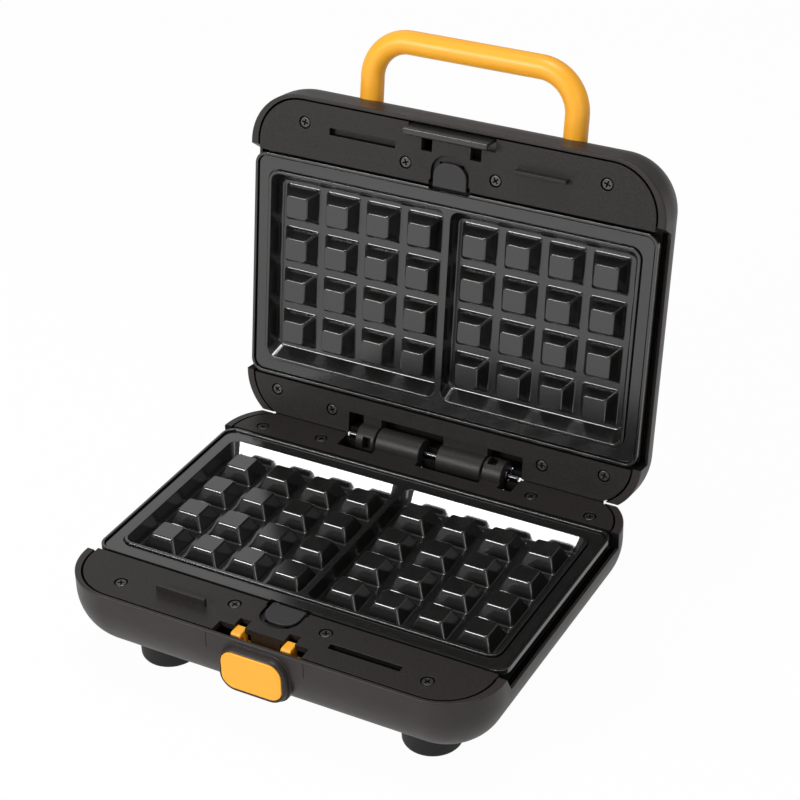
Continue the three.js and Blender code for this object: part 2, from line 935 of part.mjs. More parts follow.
function studs(side) {
  const p = plateSize;
  const inner = p.dividerHalf + p.dividerRun;
  const outer = p.ridgeHalfWidth - p.ridgeWidth - p.sideRun;
  const middle = side * (inner + outer) / 2;
  const length = 2 * (p.ridgeHalfLength - p.ridgeWidth - p.endRun);
  const pitchX = (outer - inner - 2 * plateMargin.studX + p.channelX) / p.columns;
  const pitchY = (length - 2 * plateMargin.studY + p.channelY) / p.rows;
  const baseX = (pitchX - p.channelX) / 2;
  const baseY = (pitchY - p.channelY) / 2;
  const found = [];
  for (let column = 0; column < p.columns; column += 1) {
    for (let row = 0; row < p.rows; row += 1) {
      const x = middle + (column - (p.columns - 1) / 2) * pitchX;
      const y = p.centreY + (row - (p.rows - 1) / 2) * pitchY;
      const rings = [
        squareRing(x, y, baseX, baseY, -p.cavityDepth - p.floorWall / 2),
        squareRing(x, y, baseX, baseY, -p.cavityDepth),
        squareRing(x, y, baseX - p.slopeX, baseY - p.slopeY, 0),
      ];
      found.push(solid(lofted(rings)));
    }
  }
  return found;
}

function wafflePlate() {
  const p = plateSize;
  const y = p.centreY;
  const flange = prism(-p.halfWidth, p.halfWidth, plateFront, plateRear, p.corner, p.corner, -p.flange, 0);
  const bodyX = p.ridgeHalfWidth + p.bodyMargin;
  const bodyY = p.ridgeHalfLength + p.bodyMargin;
  const sunk = -p.flange / 2;
  const body = prism(-bodyX, bodyX, y - bodyY, y + bodyY, p.ridgeCorner, p.ridgeCorner, plateUnderside, sunk);
  const bandX = p.halfWidth - p.rimWidth;
  const bandY = p.halfLength - p.rimWidth;
  const bandCorner = p.corner - p.rimWidth;
  const bandLow = -p.bandDepth;
  const band = prism(-bandX, bandX, y - bandY, y + bandY, bandCorner, bandCorner, bandLow, overrun);
  const ridgeX = p.ridgeHalfWidth;
  const ridgeY = p.ridgeHalfLength;
  const below = bandLow - overrun;
  const above = 2 * overrun;
  const ridge = prism(-ridgeX, ridgeX, y - ridgeY, y + ridgeY, p.ridgeCorner, p.ridgeCorner, below, above);
  const notchRear = plateFront + p.notchDepth;
  const notch = box(-p.notchHalf, p.notchHalf, plateFront - overrun, notchRear, -p.flange - overrun, overrun);
  const hollow = cut(flange.add(body), [band.subtract(ridge), cavity(-1), cavity(1), notch]);
  return join([hollow, ...studs(-1), ...studs(1)]);
}

// Heating.

function heatingElement() {
  const { radius, halfGauge, bendX, endX, steps, sides } = elementSize;
  const y = plateSize.centreY;
  const path = pathWithArcs([
    lineFrom(endX, y - halfGauge, bendX, y - halfGauge, elementZ),
    new PlaneArc(bendX, y, elementZ, halfGauge, -quarterTurn, -2 * quarterTurn),
    lineFrom(bendX, y + halfGauge, endX, y + halfGauge, elementZ),
  ]);
  return tube(path, radius, steps, sides);
}

function heatReflector() {
  const { halfWidth, halfLength, wall, postX, postHalf } = traySize;
  const y = plateSize.centreY;
  const outer = box(-halfWidth, halfWidth, y - halfLength, y + halfLength, trayBottom, trayTop);
  const inX = halfWidth - wall;
  const inY = halfLength - wall;
  const hollow = box(-inX, inX, y - inY, y + inY, trayBottom + wall, trayTop + overrun);
  const { radius, halfGauge, bendX, endX, sides } = elementSize;
  const legs = [y - halfGauge, y + halfGauge];
  const bores = legs.map((legY) => box(
    halfWidth - wall - overrun,
    endX,
    legY - radius - seatGap,
    legY + radius + seatGap,
    elementZ - radius - seatGap,
    trayTop + overrun,
  ));
  const postTop = elementZ - radius - seatGap;
  const posts = legs.flatMap((legY) => [bendX, postX].map((x) => {
    return box(x - postHalf, x + postHalf, legY - postHalf, legY + postHalf, trayBottom, postTop);
  }));
  return join([cut(outer, [hollow, ...bores]), ...posts]);
}

function underTray(radius, height) {
  const top = trayBottom - seatGap;
  return rodAlongZ(radius, 0, plateSize.centreY, top - height, top);
}

function thermalFuse() {
  const { fuseRadius, fuseLength } = insideSize;
  const half = fuseLength / 2;
  return rodAlongX(fuseRadius, -half, half, plateSize.centreY, trayBottom - seatGap - fuseRadius, smallSides);
}

function terminalBlock() {
  const { blockX, blockY, blockHalfX, blockHalfY, blockHeight, blockWays, blockBore } = insideSize;
  const low = floorInside + seatGap;
  const high = low + blockHeight;
  const body = box(blockX - blockHalfX, blockX + blockHalfX, blockY - blockHalfY, blockY + blockHalfY, low, high);
  const pitch = 2 * blockHalfX / blockWays;
  const middle = (low + high) / 2;
  const bores = [];
  for (let way = 0; way < blockWays; way += 1) {
    const x = blockX + (way - (blockWays - 1) / 2) * pitch;
    const end = blockHalfY + overrun;
    bores.push(rodAlongY(blockBore, x, blockY - end, blockY + end, middle, smallSides));
    bores.push(rodAlongZ(blockBore, x, blockY, middle, high + overrun, smallSides));
  }
  return cut(body, bores);
}

// Fasteners, feet and inlet.

function screwProfile() {
  const { headRadius, headHeight, headEase, shankRadius, shankLength } = screwSize;
  return [
    [0, -headHeight - shankLength],
    [shankRadius, -headHeight - shankLength],
    [shankRadius, -headHeight],
    [headRadius, -headHeight],
    [headRadius, -headEase],
    [headRadius - headEase, 0],
    [0, 0],
  ];
}

function frameScrew(x, y) {
  const geometry = turned(screwProfile(), smallSides);
  geometry.translate(x, y, -screwSize.sunk);
  return solid(geometry);
}

function handleScrew(x) {
  const geometry = turned(screwProfile(), smallSides);
  geometry.rotateX(-quarterTurn);
  geometry.translate(x, socketRear + seatGap + screwSize.headHeight, handleSize.z);
  return solid(geometry);
}

function foot(x, y) {
  const { radius, bottomRadius, ease, height, stemRadius, stemHead } = footSize;
  const top = -shellDepth - seatGap;
  const bottom = -shellDepth - height;
  const profile = [[0, bottom], [bottomRadius, bottom]];
  for (let step = 1; step <= 2; step += 1) {
    const angle = quarterTurn * step / 2;
    profile.push([bottomRadius + (radius - bottomRadius) * Math.sin(angle), bottom + ease * (1 - Math.cos(angle))]);
  }
  profile.push([radius, top], [stemRadius, top], [stemRadius, floorInside + stemHead], [0, floorInside + stemHead]);
  const geometry = turned(profile);
  geometry.translate(x, y, 0);
  return solid(geometry);
}

function cordGland() {
  const { z, bore, neckRadius, flangeRadius, flange, insideLength } = glandSize;
  const face = shellSize.rear;
  const wall = shellSize.rimWall;
  const collar = rodAlongY(flangeRadius, glandX, face + seatGap, face + seatGap + flange, z);
  const neck = rodAlongY(neckRadius, glandX, face - wall - insideLength, face + seatGap + flange / 2, z);
  const hole = rodAlongY(bore, glandX, face - wall - insideLength - overrun, face + flange + overrun, z, smallSides);
  return collar.add(neck).subtract(hole);
}

function pilotLamp(x) {
  const { radius, rimRadius, proud, depth } = lampSize;
  const face = -shellDepth - seatGap;
  const profile = [
    [0, face - proud],
    [radius, face - proud],
    [rimRadius, face],
    [radius, face],
    [radius, face + depth],
    [0, face + depth],
  ];
  const geometry = turned(profile, smallSides);
  geometry.translate(x, lampSize.y, 0);
  return solid(geometry);
}

// Hinge pin and clips.

function hingePin() {
  return rodAlongX(hingeSize.pinRadius, -hingeSize.pinHalf, hingeSize.pinHalf, hingeY, hingeZ, smallSides);
}

function hingeClip(side) {
  const { smallEnd, clipThickness, clipRadius, pinRadius } = hingeSize;
  const near = smallEnd + seatGap;
  const far = near + clipThickness;
  const [x0, x1] = [side * near, side * far].sort((a, b) => a - b);
  const disc = rodAlongX(clipRadius, x0, x1, hingeY, hingeZ);
  return disc.subtract(rodAlongX(pinRadius + seatGap, x0 - overrun, x1 + overrun, hingeY, hingeZ, smallSides));
}

// Latch.

function hook(x) {
  const { hookWidth, hookTop, hookUnder, hookTip, hookChamfer, stemFront, stemRear, barTop } = latchSize;
  const outline = new THREE.Shape();
  outline.moveTo(stemRear, barTop - overrun);
  outline.lineTo(stemRear, hookTop);
  outline.lineTo(stemFront - hookChamfer / 2, hookTop);
  outline.lineTo(hookTip, hookUnder + hookChamfer / 2);
  outline.lineTo(hookTip, hookUnder);
  outline.lineTo(stemFront, hookUnder);
  outline.lineTo(stemFront, barTop - overrun);
  outline.closePath();
  const geometry = new THREE.ExtrudeGeometry(outline, { depth: hookWidth, bevelEnabled: false });
  geometry.rotateX(quarterTurn);
  geometry.rotateZ(quarterTurn);
  geometry.translate(x - hookWidth / 2, 0, 0);
  return solid(geometry);
}

function hookCarriage() {
  const { barHalf, barTop, barBottom, stemFront, stemRear, hookX } = latchSize;
  const bar = box(-barHalf, barHalf, stemFront, stemRear, barBottom, barTop);
  return join([bar, hook(-hookX), hook(hookX)]);
}

function latchButton() {
  const { buttonHalf, buttonHeight, buttonCorner, buttonZ, buttonFace, buttonThickness, buttonEase } = latchSize;
  const { neckHalf, barBottom, barTop, stemFront } = latchSize;
  const levels = [
    { inset: 0, out: 0 },
    { inset: 0, out: buttonThickness - buttonEase },
    { inset: buttonEase, out: buttonThickness },
  ];
  const rings = levels.map(({ inset, out }) => {
    const half = buttonHalf - inset;
    const halfHeight = buttonHeight / 2 - inset;
    const corner = buttonCorner - inset;
    return ring(-half, half, buttonZ - halfHeight, buttonZ + halfHeight, corner, corner, out);
  });
  const cap = facingFront(lofted(rings), 0, buttonFace + buttonThickness, 0);
  const neckFront = buttonFace + buttonThickness / 2;
  const neck = box(-neckHalf, neckHalf, neckFront, stemFront - seatGap, barBottom, barTop);
  return cap.add(neck);
}

// A spring that lies along y, as a plain sleeve of the coil's outside and inside radius.
function springSleeve(x, z, radius, wire, y0, y1) {
  const sleeve = rodAlongY(radius, x, y0, y1, z, smallSides);
  return sleeve.subtract(rodAlongY(radius - wire, x, y0 - overrun, y1 + overrun, z, smallSides));
}

function latchSpring(side) {
  const { springX, springZ, springRadius, springWire, stemRear, webFront } = latchSize;
  const rear = webFront - seatGap;
  return springSleeve(side * springX, springZ, springRadius, springWire, stemRear + seatGap, rear);
}

function latchStrike() {
  const { half, front, neckRear, lipRear, reach, lipHeight, footDepth } = strikeSize;
  const { tabInner, tabThickness, tabRear } = strikeSize;
  const neck = box(-half, half, front, neckRear, -footDepth, reach);
  const lip = box(-half, half, front, lipRear, reach - lipHeight, reach);
  const tabTop = -frameSize.deck - seatGap;
  const tabs = [[-half, -tabInner], [tabInner, half]].map(([x0, x1]) => {
    return box(x0, x1, front, tabRear, tabTop - tabThickness, tabTop);
  });
  return join([neck, lip, ...tabs]);
}

// Plate release buttons.

function releaseButton() {
  const r = releaseSize;
  const face = prism(
    -r.faceHalf,
    r.faceHalf,
    r.faceFront,
    r.faceRear,
    r.faceCorner,
    r.rearCorner,
    -r.faceThickness,
    0,
  );
  const guideTop = -frameSize.deck - seatGap;
  const neck = box(-r.neckHalf, r.neckHalf, r.neckFront, r.guideRear, guideTop - overrun, -r.faceThickness / 2);
  const guide = box(-r.guideHalf, r.guideHalf, r.guideFront, r.guideRear, r.guideBottom, guideTop);
  const tongueRear = plateFront + plateSize.notchDepth - seatGap;
  const tongueLow = r.tongueTop - r.tongueThickness;
  const tongue = box(-r.tongueHalf, r.tongueHalf, r.faceRear, tongueRear, tongueLow, r.tongueTop);
  const stalk = box(-r.neckHalf, r.neckHalf, r.guideRear - overrun, r.faceRear + overrun, tongueLow, r.tongueTop);
  return join([face, neck, guide, stalk, tongue]);
}

function releaseSpring() {
  const { springRadius, springWire, springZ, webFront, guideFront } = releaseSize;
  const front = webFront + frameSize.webThickness + seatGap;
  return springSleeve(0, springZ, springRadius, springWire, front, guideFront - seatGap);
}

// Handle.

function handleLoop() {
  const { legX, barY, z, radius, bend, rootY, steps, sides, screwDepth } = handleSize;
  const elbowX = legX - bend;
  const elbowY = barY + bend;
  const path = pathWithArcs([
    lineFrom(-legX, rootY, -legX, elbowY, z),
    new PlaneArc(-elbowX, elbowY, z, bend, 2 * quarterTurn, quarterTurn),
    lineFrom(-elbowX, barY, elbowX, barY, z),
    new PlaneArc(elbowX, elbowY, z, bend, -quarterTurn, quarterTurn),
    lineFrom(legX, elbowY, legX, rootY, z),
  ]);
  const bores = [-legX, legX].map((x) => {
    const bore = screwSize.shankRadius + seatGap;
    return rodAlongY(bore, x, rootY - screwDepth, rootY + overrun, z, smallSides);
  });
  return cut(tube(path, radius, steps, sides), bores);
}

// Assembly.

function addSharedPieces(group, name) {
  addPiece(group, `${name}_waffle_plate`, wafflePlate(), nonStick);
  addPiece(group, `${name}_heating_element`, heatingElement(), galvanised);
  addPiece(group, `${name}_heat_reflector`, heatReflector(), galvanised);
  addPiece(group, `${name}_release_button`, releaseButton(), panel);
  addPiece(group, `${name}_release_spring`, releaseSpring(), steel);
  screwPlaces.forEach(({ x, y }, i) => {
    addPiece(group, `${name}_frame_screw_${i + 1}`, frameScrew(x, y), darkSteel);
  });
}

function addBase(group) {
  addPiece(group, 'base_shell', baseShell(), casing);
  addPiece(group, 'base_inner_frame', innerFrame(latchSpringWebs()), panel);
  addSharedPieces(group, 'base');
  for (const { name, x, y } of footPlaces()) {
    addPiece(group, name, foot(x, y), rubber);
  }
  addPiece(group, 'thermostat', underTray(insideSize.thermostatRadius, insideSize.thermostatHeight), steel);
  addPiece(group, 'terminal_block', terminalBlock(), cream);
  addPiece(group, 'cord_gland', cordGland(), blackPlastic);
  addPiece(group, 'hinge_pin', hingePin(), steel);
  addPiece(group, 'hinge_clip_left', hingeClip(-1), steel);
  addPiece(group, 'hinge_clip_right', hingeClip(1), steel);
  addPiece(group, 'latch_hook_carriage', hookCarriage(), orange);
  addPiece(group, 'latch_button', latchButton(), orange);
  addPiece(group, 'latch_spring_left', latchSpring(-1), steel);
  addPiece(group, 'latch_spring_right', latchSpring(1), steel);
}

function addLid(group) {
  addPiece(group, 'lid_shell', lidShell(), casing);
  addPiece(group, 'lid_inner_frame', innerFrame([]), panel);
  addSharedPieces(group, 'lid');
  addPiece(group, 'thermal_fuse', thermalFuse(), steel);
  addPiece(group, 'latch_strike', latchStrike(), panel);
  addPiece(group, 'handle', handleLoop(), orange);
  addPiece(group, 'handle_screw_left', handleScrew(-handleSize.legX), darkSteel);
  addPiece(group, 'handle_screw_right', handleScrew(handleSize.legX), darkSteel);
  addPiece(group, 'power_lamp', pilotLamp(-lampSize.x), redLens);
  addPiece(group, 'ready_lamp', pilotLamp(lampSize.x), greenLens);
}

const baseHalf = new THREE.Group();
addBase(baseHalf);

const lidHalf = new THREE.Group();
lidHalf.rotation.y = 2 * quarterTurn;
lidHalf.position.set(0, -hingeY, closedGap - hingeZ);
addLid(lidHalf);

const lidSwing = new THREE.Group();
lidSwing.position.set(0, hingeY, hingeZ);
lidSwing.rotation.x = -openRadians;
lidSwing.add(lidHalf);

// The origin is the middle of the underside of the opened appliance's bounding box.
const appliance = new THREE.Group();
appliance.add(baseHalf, lidSwing);
appliance.updateMatrixWorld(true);
const extent = new THREE.Box3().setFromObject(appliance, true);
const middle = extent.getCenter(new THREE.Vector3());
appliance.position.set(-middle.x, -middle.y, -extent.min.z);

export default appliance;
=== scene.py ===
import math
import random
from types import SimpleNamespace as Sizes

import bpy
from mathutils import Matrix, Vector


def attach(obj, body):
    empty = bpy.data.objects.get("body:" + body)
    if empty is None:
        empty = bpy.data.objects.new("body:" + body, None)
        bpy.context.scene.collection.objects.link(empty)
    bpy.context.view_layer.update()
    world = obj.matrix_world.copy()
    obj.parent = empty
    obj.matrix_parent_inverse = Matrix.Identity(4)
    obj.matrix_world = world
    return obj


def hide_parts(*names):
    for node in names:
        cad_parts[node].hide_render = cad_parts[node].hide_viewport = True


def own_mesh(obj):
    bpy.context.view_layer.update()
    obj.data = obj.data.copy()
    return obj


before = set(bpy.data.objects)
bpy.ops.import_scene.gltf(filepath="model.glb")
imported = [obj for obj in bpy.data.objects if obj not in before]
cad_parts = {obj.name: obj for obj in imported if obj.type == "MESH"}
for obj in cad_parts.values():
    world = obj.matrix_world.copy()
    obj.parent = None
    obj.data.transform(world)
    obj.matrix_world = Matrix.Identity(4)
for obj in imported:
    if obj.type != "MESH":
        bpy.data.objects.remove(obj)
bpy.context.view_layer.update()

# Both halves are drawn in millimetres the way the base lies: x to the right, y from front to back, z up, with
# the rims of the waffle plates at z = 0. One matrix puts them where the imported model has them, in metres.
MILLIMETRE = 0.001
SIDES = (-1, 1)

# How far cutters reach past what they cut, and the play between parts.
OVERRUN = 1.0
GAP = 0.3

# How finely round forms are divided.
EASE_STEPS = 5
CORNER_STEPS = 12
COIL_STEPS = 16
WIRE_SIDES = 8
SMALL_SIDES = 40
ROD_SIDES = 48
ROUND_SIDES = 64
BEVEL_DEGREES = 30
WIRE_SHARP = 60

# For the choice of faces that get painted shade: two tolerances, the most that an upright face leans, and how
# deep light gets.
NEAR = 0.1
TOUCH = 0.06
UPRIGHT = 0.3
LIT_DEPTH = 0.4

shell = Sizes(
    half_width=116.1, front=-55.0, rear=126.3, arc_rear=133.1, corner=29.3, rear_fillet=1.5,
    corner_shrink=0.72, straight=9.0, round_height=29.0, round_run=25.0, round_steps=20, rim_wall=3.4,
    floor_wall=2.8, thin_wall=2.1, rim_ease=0.8, rim_inner_ease=0.12, side_share=1.25, front_share=0.5,
    recess_front=-24.5, recess_slant=5.0, recess_rear=104.0, side_wall=1.5, side_depth=15.0,
)
plate = Sizes(
    half_width=113.3, half_length=62.3, centre_y=41.4, corner=7.0, flange=3.0, flange_ease=0.3,
    edge_band=0.5, end_lean=0.8, rim_width=1.5, rim_ease=0.3, ridge_ease=0.3, band_depth=1.2, crease=0.7,
    crease_depth=1.2, ridge_half_width=105.0, ridge_half_length=53.4, ridge_corner=6.0, ridge_width=1.5,
    divider_half=1.7, cavity_depth=7.65, cavity_corner=5.0, floor_corner=3.5, side_run=2.8, end_run=4.7,
    divider_run=1.2, floor_wall=2.0, body_margin=1.5, body_ease=1.0, count=4, pitch=(24.0, 23.53),
    stud_base=(9.7, 9.5), stud_top=(6.25, 6.0), stud_corner=1.5, stud_ease=0.85, stud_root=0.5,
    stud_spread=0.48, stud_corner_steps=5, floor_fillet=0.8, notch_half=11.4, notch_depth=2.0,
)
deck = Sizes(
    margin=4.2, front_gap=0.6, front=-51.05, rear=126.2, back=121.5, half=112.15, thick=3.0, ease=0.18,
    rear_fillet=0.5, room_gap=0.05, room_end=1.5, stop=((52.5, 97.5), (126.0, 127.9), (-2.4, -0.4)),
    stop_ease=0.1, well_front=-22.4, well_rear=104.9, well_wall=2.4, ledge_top=-9.95, ledge_bottom=-12.35,
    ledge_margin=0.9, ledge_half_width=100.0, ledge_half_length=49.5, rib=(-50.5, -38.9),
    rib_half=(14.0, 1.0), rib_height=4.2, rib_ease=0.35, slot_half=(19.0, 1.9), slot_depth=3.7,
    slot_corner=0.3, slot_flare=0.25,
)
screw = Sizes(
    places=(
        (-84.2, -41.0), (-25.2, -31.0), (25.2, -31.0), (84.2, -41.0),
        (-96.6, 112.0), (-62.2, 115.5), (62.2, 115.5), (96.6, 112.0),
    ),
    head=2.8, head_height=1.5, head_ease=0.45, sunk=0.3, shank=1.5, length=12.0, slot_half=1.8,
    slot_width=0.42, slot_depth=1.25, slot_taper=0.55, room=0.6, floor=-2.5,
)
hinge = Sizes(
    y=125.97, z=0.5, open_degrees=98.2, closed_gap=1.0, barrel=7.7, pin=1.6, pin_half=50.0, pin_ease=0.4,
    window_half=51.5, window_front=113.8, window_depth=10.0, open_near=4.8, own_near=5.05,
    base_far=(43.3, 42.95), lid_far=(45.0, 45.0), tab_top=-1.5, housing_wall=2.0, big=(-31.0, -5.0),
    small=(32.0, 43.0), arm_top=-0.6, arm_bottom=-6.5, arm_ease=0.4, pocket=(33.7, 38.6), pocket_half=3.6,
    pocket_floor=3.1, barrel_ease=0.6, clip_radius=3.6, clip=(43.3, 44.5), clip_ease=0.2,
    clip_room=(43.1, 44.9),
)
latch = Sizes(
    recess_half=24.4, recess_rear=-45.4, hook_x=13.7, hook_half=2.75, hook_top=-1.5, hook_under=-4.1,
    hook_tip=-49.6, hook_slope=1.1, hook_ease=0.55, stem=(-46.0, -42.4), notch_half=3.05, notch_rear=-39.1,
    bar_half=20.0, bar=(-24.0, -9.2), button_half=(16.5, 10.35), button_corner=6.8, button_z=-15.3,
    button_face=-59.3, button_thick=2.5, button_ease=0.6, neck_half=13.5, opening_gap=0.35,
    opening_root=-13.0, opening_flare=0.25, bezel_half=19.4, bezel_z=(-29.0, -2.2), bezel_corner=10.0,
    bezel_proud=3.9, bezel_lip=0.5, bezel_edge=0.15, bezel_root=-9.0, bezel_run=1.3, thinning_depth=10.0,
    seam_x=26.6, seam_z=(-9.5, -1.2), seam_width=0.3, travel=3.0, spring_x=16.5, spring_z=-20.0,
    spring=(3.0, 0.8, 8), spring_y=(-42.1, -32.3),
)
strike = Sizes(
    half=23.4, front=-51.8, neck_rear=-50.1, neck_ease=0.5, lip_rear=-48.0, reach=8.6, lip_height=3.2,
    lip_ease=1.45, foot_depth=9.0, tab_inner=17.5, tab_thick=3.0, tab_rear=-40.0,
)
release = Sizes(
    face_half=9.3, face=(-35.0, -21.6), face_corner=7.5, face_thick=1.3, face_ease=0.45, lit_depth=0.9,
    rear_corner=0.5, well_half=10.7, well_front=-38.6, well_corner=9.0, shelf=2.0, neck_half=6.6,
    neck=(-31.2, -25.0), guide_half=12.0, guide=(-34.0, -25.0), guide_bottom=-7.4, tongue_half=11.0,
    tongue_top=-2.8, tongue_thick=1.5, travel=3.0, web=(-44.9, -42.9), web_half=8.0, web_bottom=-8.4,
    spring_z=-5.6, spring=(2.0, 0.6, 7), spring_y=(-42.6, -34.3),
)
foot = Sizes(
    x=74.5, ys=(-18.6, 88.9), radius=15.0, bottom=13.7, ease=3.0, edge=0.6, chamfer=(0.15, 0.25), height=16.6,
    lip=0.5, stem=4.0, stem_rise=2.0,
)
handle = Sizes(x=57.1, bar_y=-86.2, z=-21.2, radius=6.15, bend=21.0, root=-44.0, sides=40, bend_steps=20)
gland = Sizes(
    face=125.3, x=-82.0, z=-17.0, bore=3.6, neck=5.6, flange=8.0, thick=2.2, ease=0.6, inside=4.0, depth=12.0
)
lamp = Sizes(
    x=9.0, y=-8.0, radius=3.2, rim=4.2, proud=0.9, depth=6.0, lip=0.15,
    dome=((0.35, 1.0), (0.7, 0.85), (0.9, 0.55)),
)

SHELL_DEPTH = shell.straight + shell.round_height
FLOOR_INSIDE = shell.floor_wall - SHELL_DEPTH
PLATE_FRONT = plate.centre_y - plate.half_length
PLATE_UNDERSIDE = -(plate.cavity_depth + plate.floor_wall)
FLOOR_HOLE = (-SHELL_DEPTH - OVERRUN, FLOOR_INSIDE + OVERRUN)
SIDE_INNER = deck.half - deck.ledge_margin / 2
RIM_INSIDE = [size - plate.rim_width for size in (plate.half_width, plate.half_length, plate.corner)]
RIDGE_OUTSIDE = [plate.ridge_half_width, plate.ridge_half_length, plate.ridge_corner]

# From drawing to model.
ORIGIN_SHIFT = Vector((0.0, -63.6611, 54.6))
BASE_PLACE = Matrix.Scale(MILLIMETRE, 4) @ Matrix.Translation(ORIGIN_SHIFT)
LID_PLACE = (
    BASE_PLACE
    @ Matrix.Translation((0.0, hinge.y, hinge.z))
    @ Matrix.Rotation(-math.radians(hinge.open_degrees), 4, "X")
    @ Matrix.Translation((0.0, -hinge.y, hinge.closed_gap - hinge.z))
    @ Matrix.Rotation(math.pi, 4, "Y")
)


# Meshes.

def new_object(name, points, faces):
    mesh = bpy.data.meshes.new(name)
    mesh.from_pydata(points, [], faces)
    made = bpy.data.objects.new(name, mesh)
    bpy.context.scene.collection.objects.link(made)
    return made


def loft(rings):
    """A closed solid through rings of equal count, from bottom to top and counterclockwise from above."""
    count = len(rings[0])
    points = [point for ring in rings for point in ring]
    faces = []
    for level in range(len(rings) - 1):
        for i in range(count):
            a = level * count + i
            b = level * count + (i + 1) % count
            faces.append((a, b, b + count, a + count))
    top = (len(rings) - 1) * count
    faces.append(tuple(reversed(range(count))))
    faces.append(tuple(range(top, top + count)))
    return new_object("loft", points, faces)


def rounded(x0, x1, y0, y1, front_corner, rear_corner, z, steps=CORNER_STEPS):
    """One level of a rounded rectangle, counterclockwise seen from above."""
    corners = (
        (x1 - front_corner, y0 + front_corner, front_corner, -1),
        (x1 - rear_corner, y1 - rear_corner, rear_corner, 0),
        (x0 + rear_corner, y1 - rear_corner, rear_corner, 1),
        (x0 + front_corner, y0 + front_corner, front_corner, 2),
    )
    ring = []
    for x, y, radius, turn in corners:
        for step in range(steps + 1):
            angle = (turn + step / steps) * math.pi / 2
            ring.append((x + radius * math.cos(angle), y + radius * math.sin(angle), z))
    return ring


def around(x, y, half_x, half_y):
    """The left, right, front and rear limits of what has its middle at (x, y)."""
    return x - half_x, x + half_x, y - half_y, y + half_y


def centred(half_x, half_y, corner, z, x=0.0, y=0.0, steps=CORNER_STEPS):
    """One level of a rounded rectangle with four like corners, about (x, y)."""
    return rounded(*around(x, y, half_x, half_y), corner, corner, z, steps)


def easing(radius, steps=EASE_STEPS):
    """Insets and drops along a rounded edge, from the side up to the top."""
    return [(radius * (1 - math.cos(a)), radius * (1 - math.sin(a))) for a in quarter_steps(steps)]


def eased_levels(z0, z1, top_ease, bottom_ease=0.0):
    """Insets and heights of an upright side with rounded edges."""
    levels = [(0.0, z0)]
    if bottom_ease:
        levels = [(inset, z0 + drop) for inset, drop in reversed(easing(bottom_ease))]
    if top_ease:
        levels += [(inset, z1 - drop) for inset, drop in easing(top_ease)]
    else:
        levels.append((0.0, z1))
    return levels


def slab(x0, x1, y0, y1, corners, z0, z1, top_ease=0.0, bottom_ease=0.0):
    rings = []
    for inset, z in eased_levels(z0, z1, top_ease, bottom_ease):
        front, rear = (corner - inset for corner in corners)
        rings.append(rounded(x0 + inset, x1 - inset, y0 + inset, y1 - inset, front, rear, z))
    return loft(rings)


def well(x0, x1, y0, y1, corners, z0, z1, flare):
    """A cutter that leaves a rounded edge where it comes out at z1."""
    front, rear = corners
    levels = [(0.0, z0), *((out, z1 - drop) for out, drop in easing(flare)), (flare, z1 + OVERRUN)]
    return loft([rounded(x0 - i, x1 + i, y0 - i, y1 + i, front + i, rear + i, z) for i, z in levels])


def quarter_steps(steps=EASE_STEPS):
    return [math.pi / 2 * step / steps for step in range(steps + 1)]


def circle_steps(sides):
    return [2 * math.pi * i / sides for i in range(sides)]


def box(x0, x1, y0, y1, z0, z1):
    low = [(x0, y0, z0), (x1, y0, z0), (x1, y1, z0), (x0, y1, z0)]
    return loft([low, [(x, y, z1) for x, y, _ in low]])


def across(half, y0, y1, z0, z1):
    """A box that reaches equally far to the left and to the right."""
    return box(-half, half, y0, y1, z0, z1)


def turned(profile, sides):
    """A turned solid about the z axis, through a list of (radius, height) from bottom to top."""
    angles = circle_steps(sides)
    return loft([[(radius * math.cos(a), radius * math.sin(a), z) for a in angles] for radius, z in profile])


def moved(made, matrix):
    made.data.transform(matrix)
    return made


def rod(axis, radius, start, end, a, b, ease=0.0, sides=ROD_SIDES):
    """A round bar along x, y or z; a and b are the two other coordinates of its centre line."""
    profile = [(radius - inset, z) for inset, z in eased_levels(start, end, ease, ease)]
    place, turn = {
        "X": ((0, a, b), ((0, 0, 1), (1, 0, 0), (0, 1, 0))),
        "Y": ((a, 0, b), ((0, 1, 0), (0, 0, 1), (1, 0, 0))),
        "Z": ((a, b, 0), ((1, 0, 0), (0, 1, 0), (0, 0, 1))),
    }[axis]
    return moved(turned(profile, sides), Matrix.Translation(place) @ Matrix(turn).to_4x4())


def along_hinge(radius, start, end, ease=0.0, sides=ROD_SIDES):
    return rod("X", radius, start, end, hinge.y, hinge.z, ease, sides)


def settled(made):
    """The object with its modifiers applied."""
    bpy.context.view_layer.update()
    depsgraph = bpy.context.evaluated_depsgraph_get()
    mesh = bpy.data.meshes.new_from_object(made.evaluated_get(depsgraph), depsgraph=depsgraph)
    made.modifiers.clear()
    made.data = mesh
    return made


def combine(body, others, operation):
    for other in others:
        modifier = body.modifiers.new(operation, "BOOLEAN")
        modifier.operation = operation
        modifier.solver = "MANIFOLD"
        modifier.object = other
    settled(body)
    for other in others:
        bpy.data.objects.remove(other)
    return body


def cut(body, cutters):
    return combine(body, cutters, "DIFFERENCE")


def join(body, parts):
    return combine(body, parts, "UNION")


def group(parts):
    """Solids that don't touch, as one object."""
    points = []
    faces = []
    for part in parts:
        base = len(points)
        points += [tuple(vertex.co) for vertex in part.data.vertices]
        faces += [tuple(base + i for i in face.vertices) for face in part.data.polygons]
        bpy.data.objects.remove(part)
    return new_object("group", points, faces)


def bores(axis, radius, start, end, places):
    """Cutters for round holes along one axis, as one object."""
    return group([rod(axis, radius + GAP, start, end, a, b) for a, b in places])


def both_sides(make):
    """What make gives for the left, -1, and for the right, 1, as one object."""
    return group([make(side) for side in SIDES])


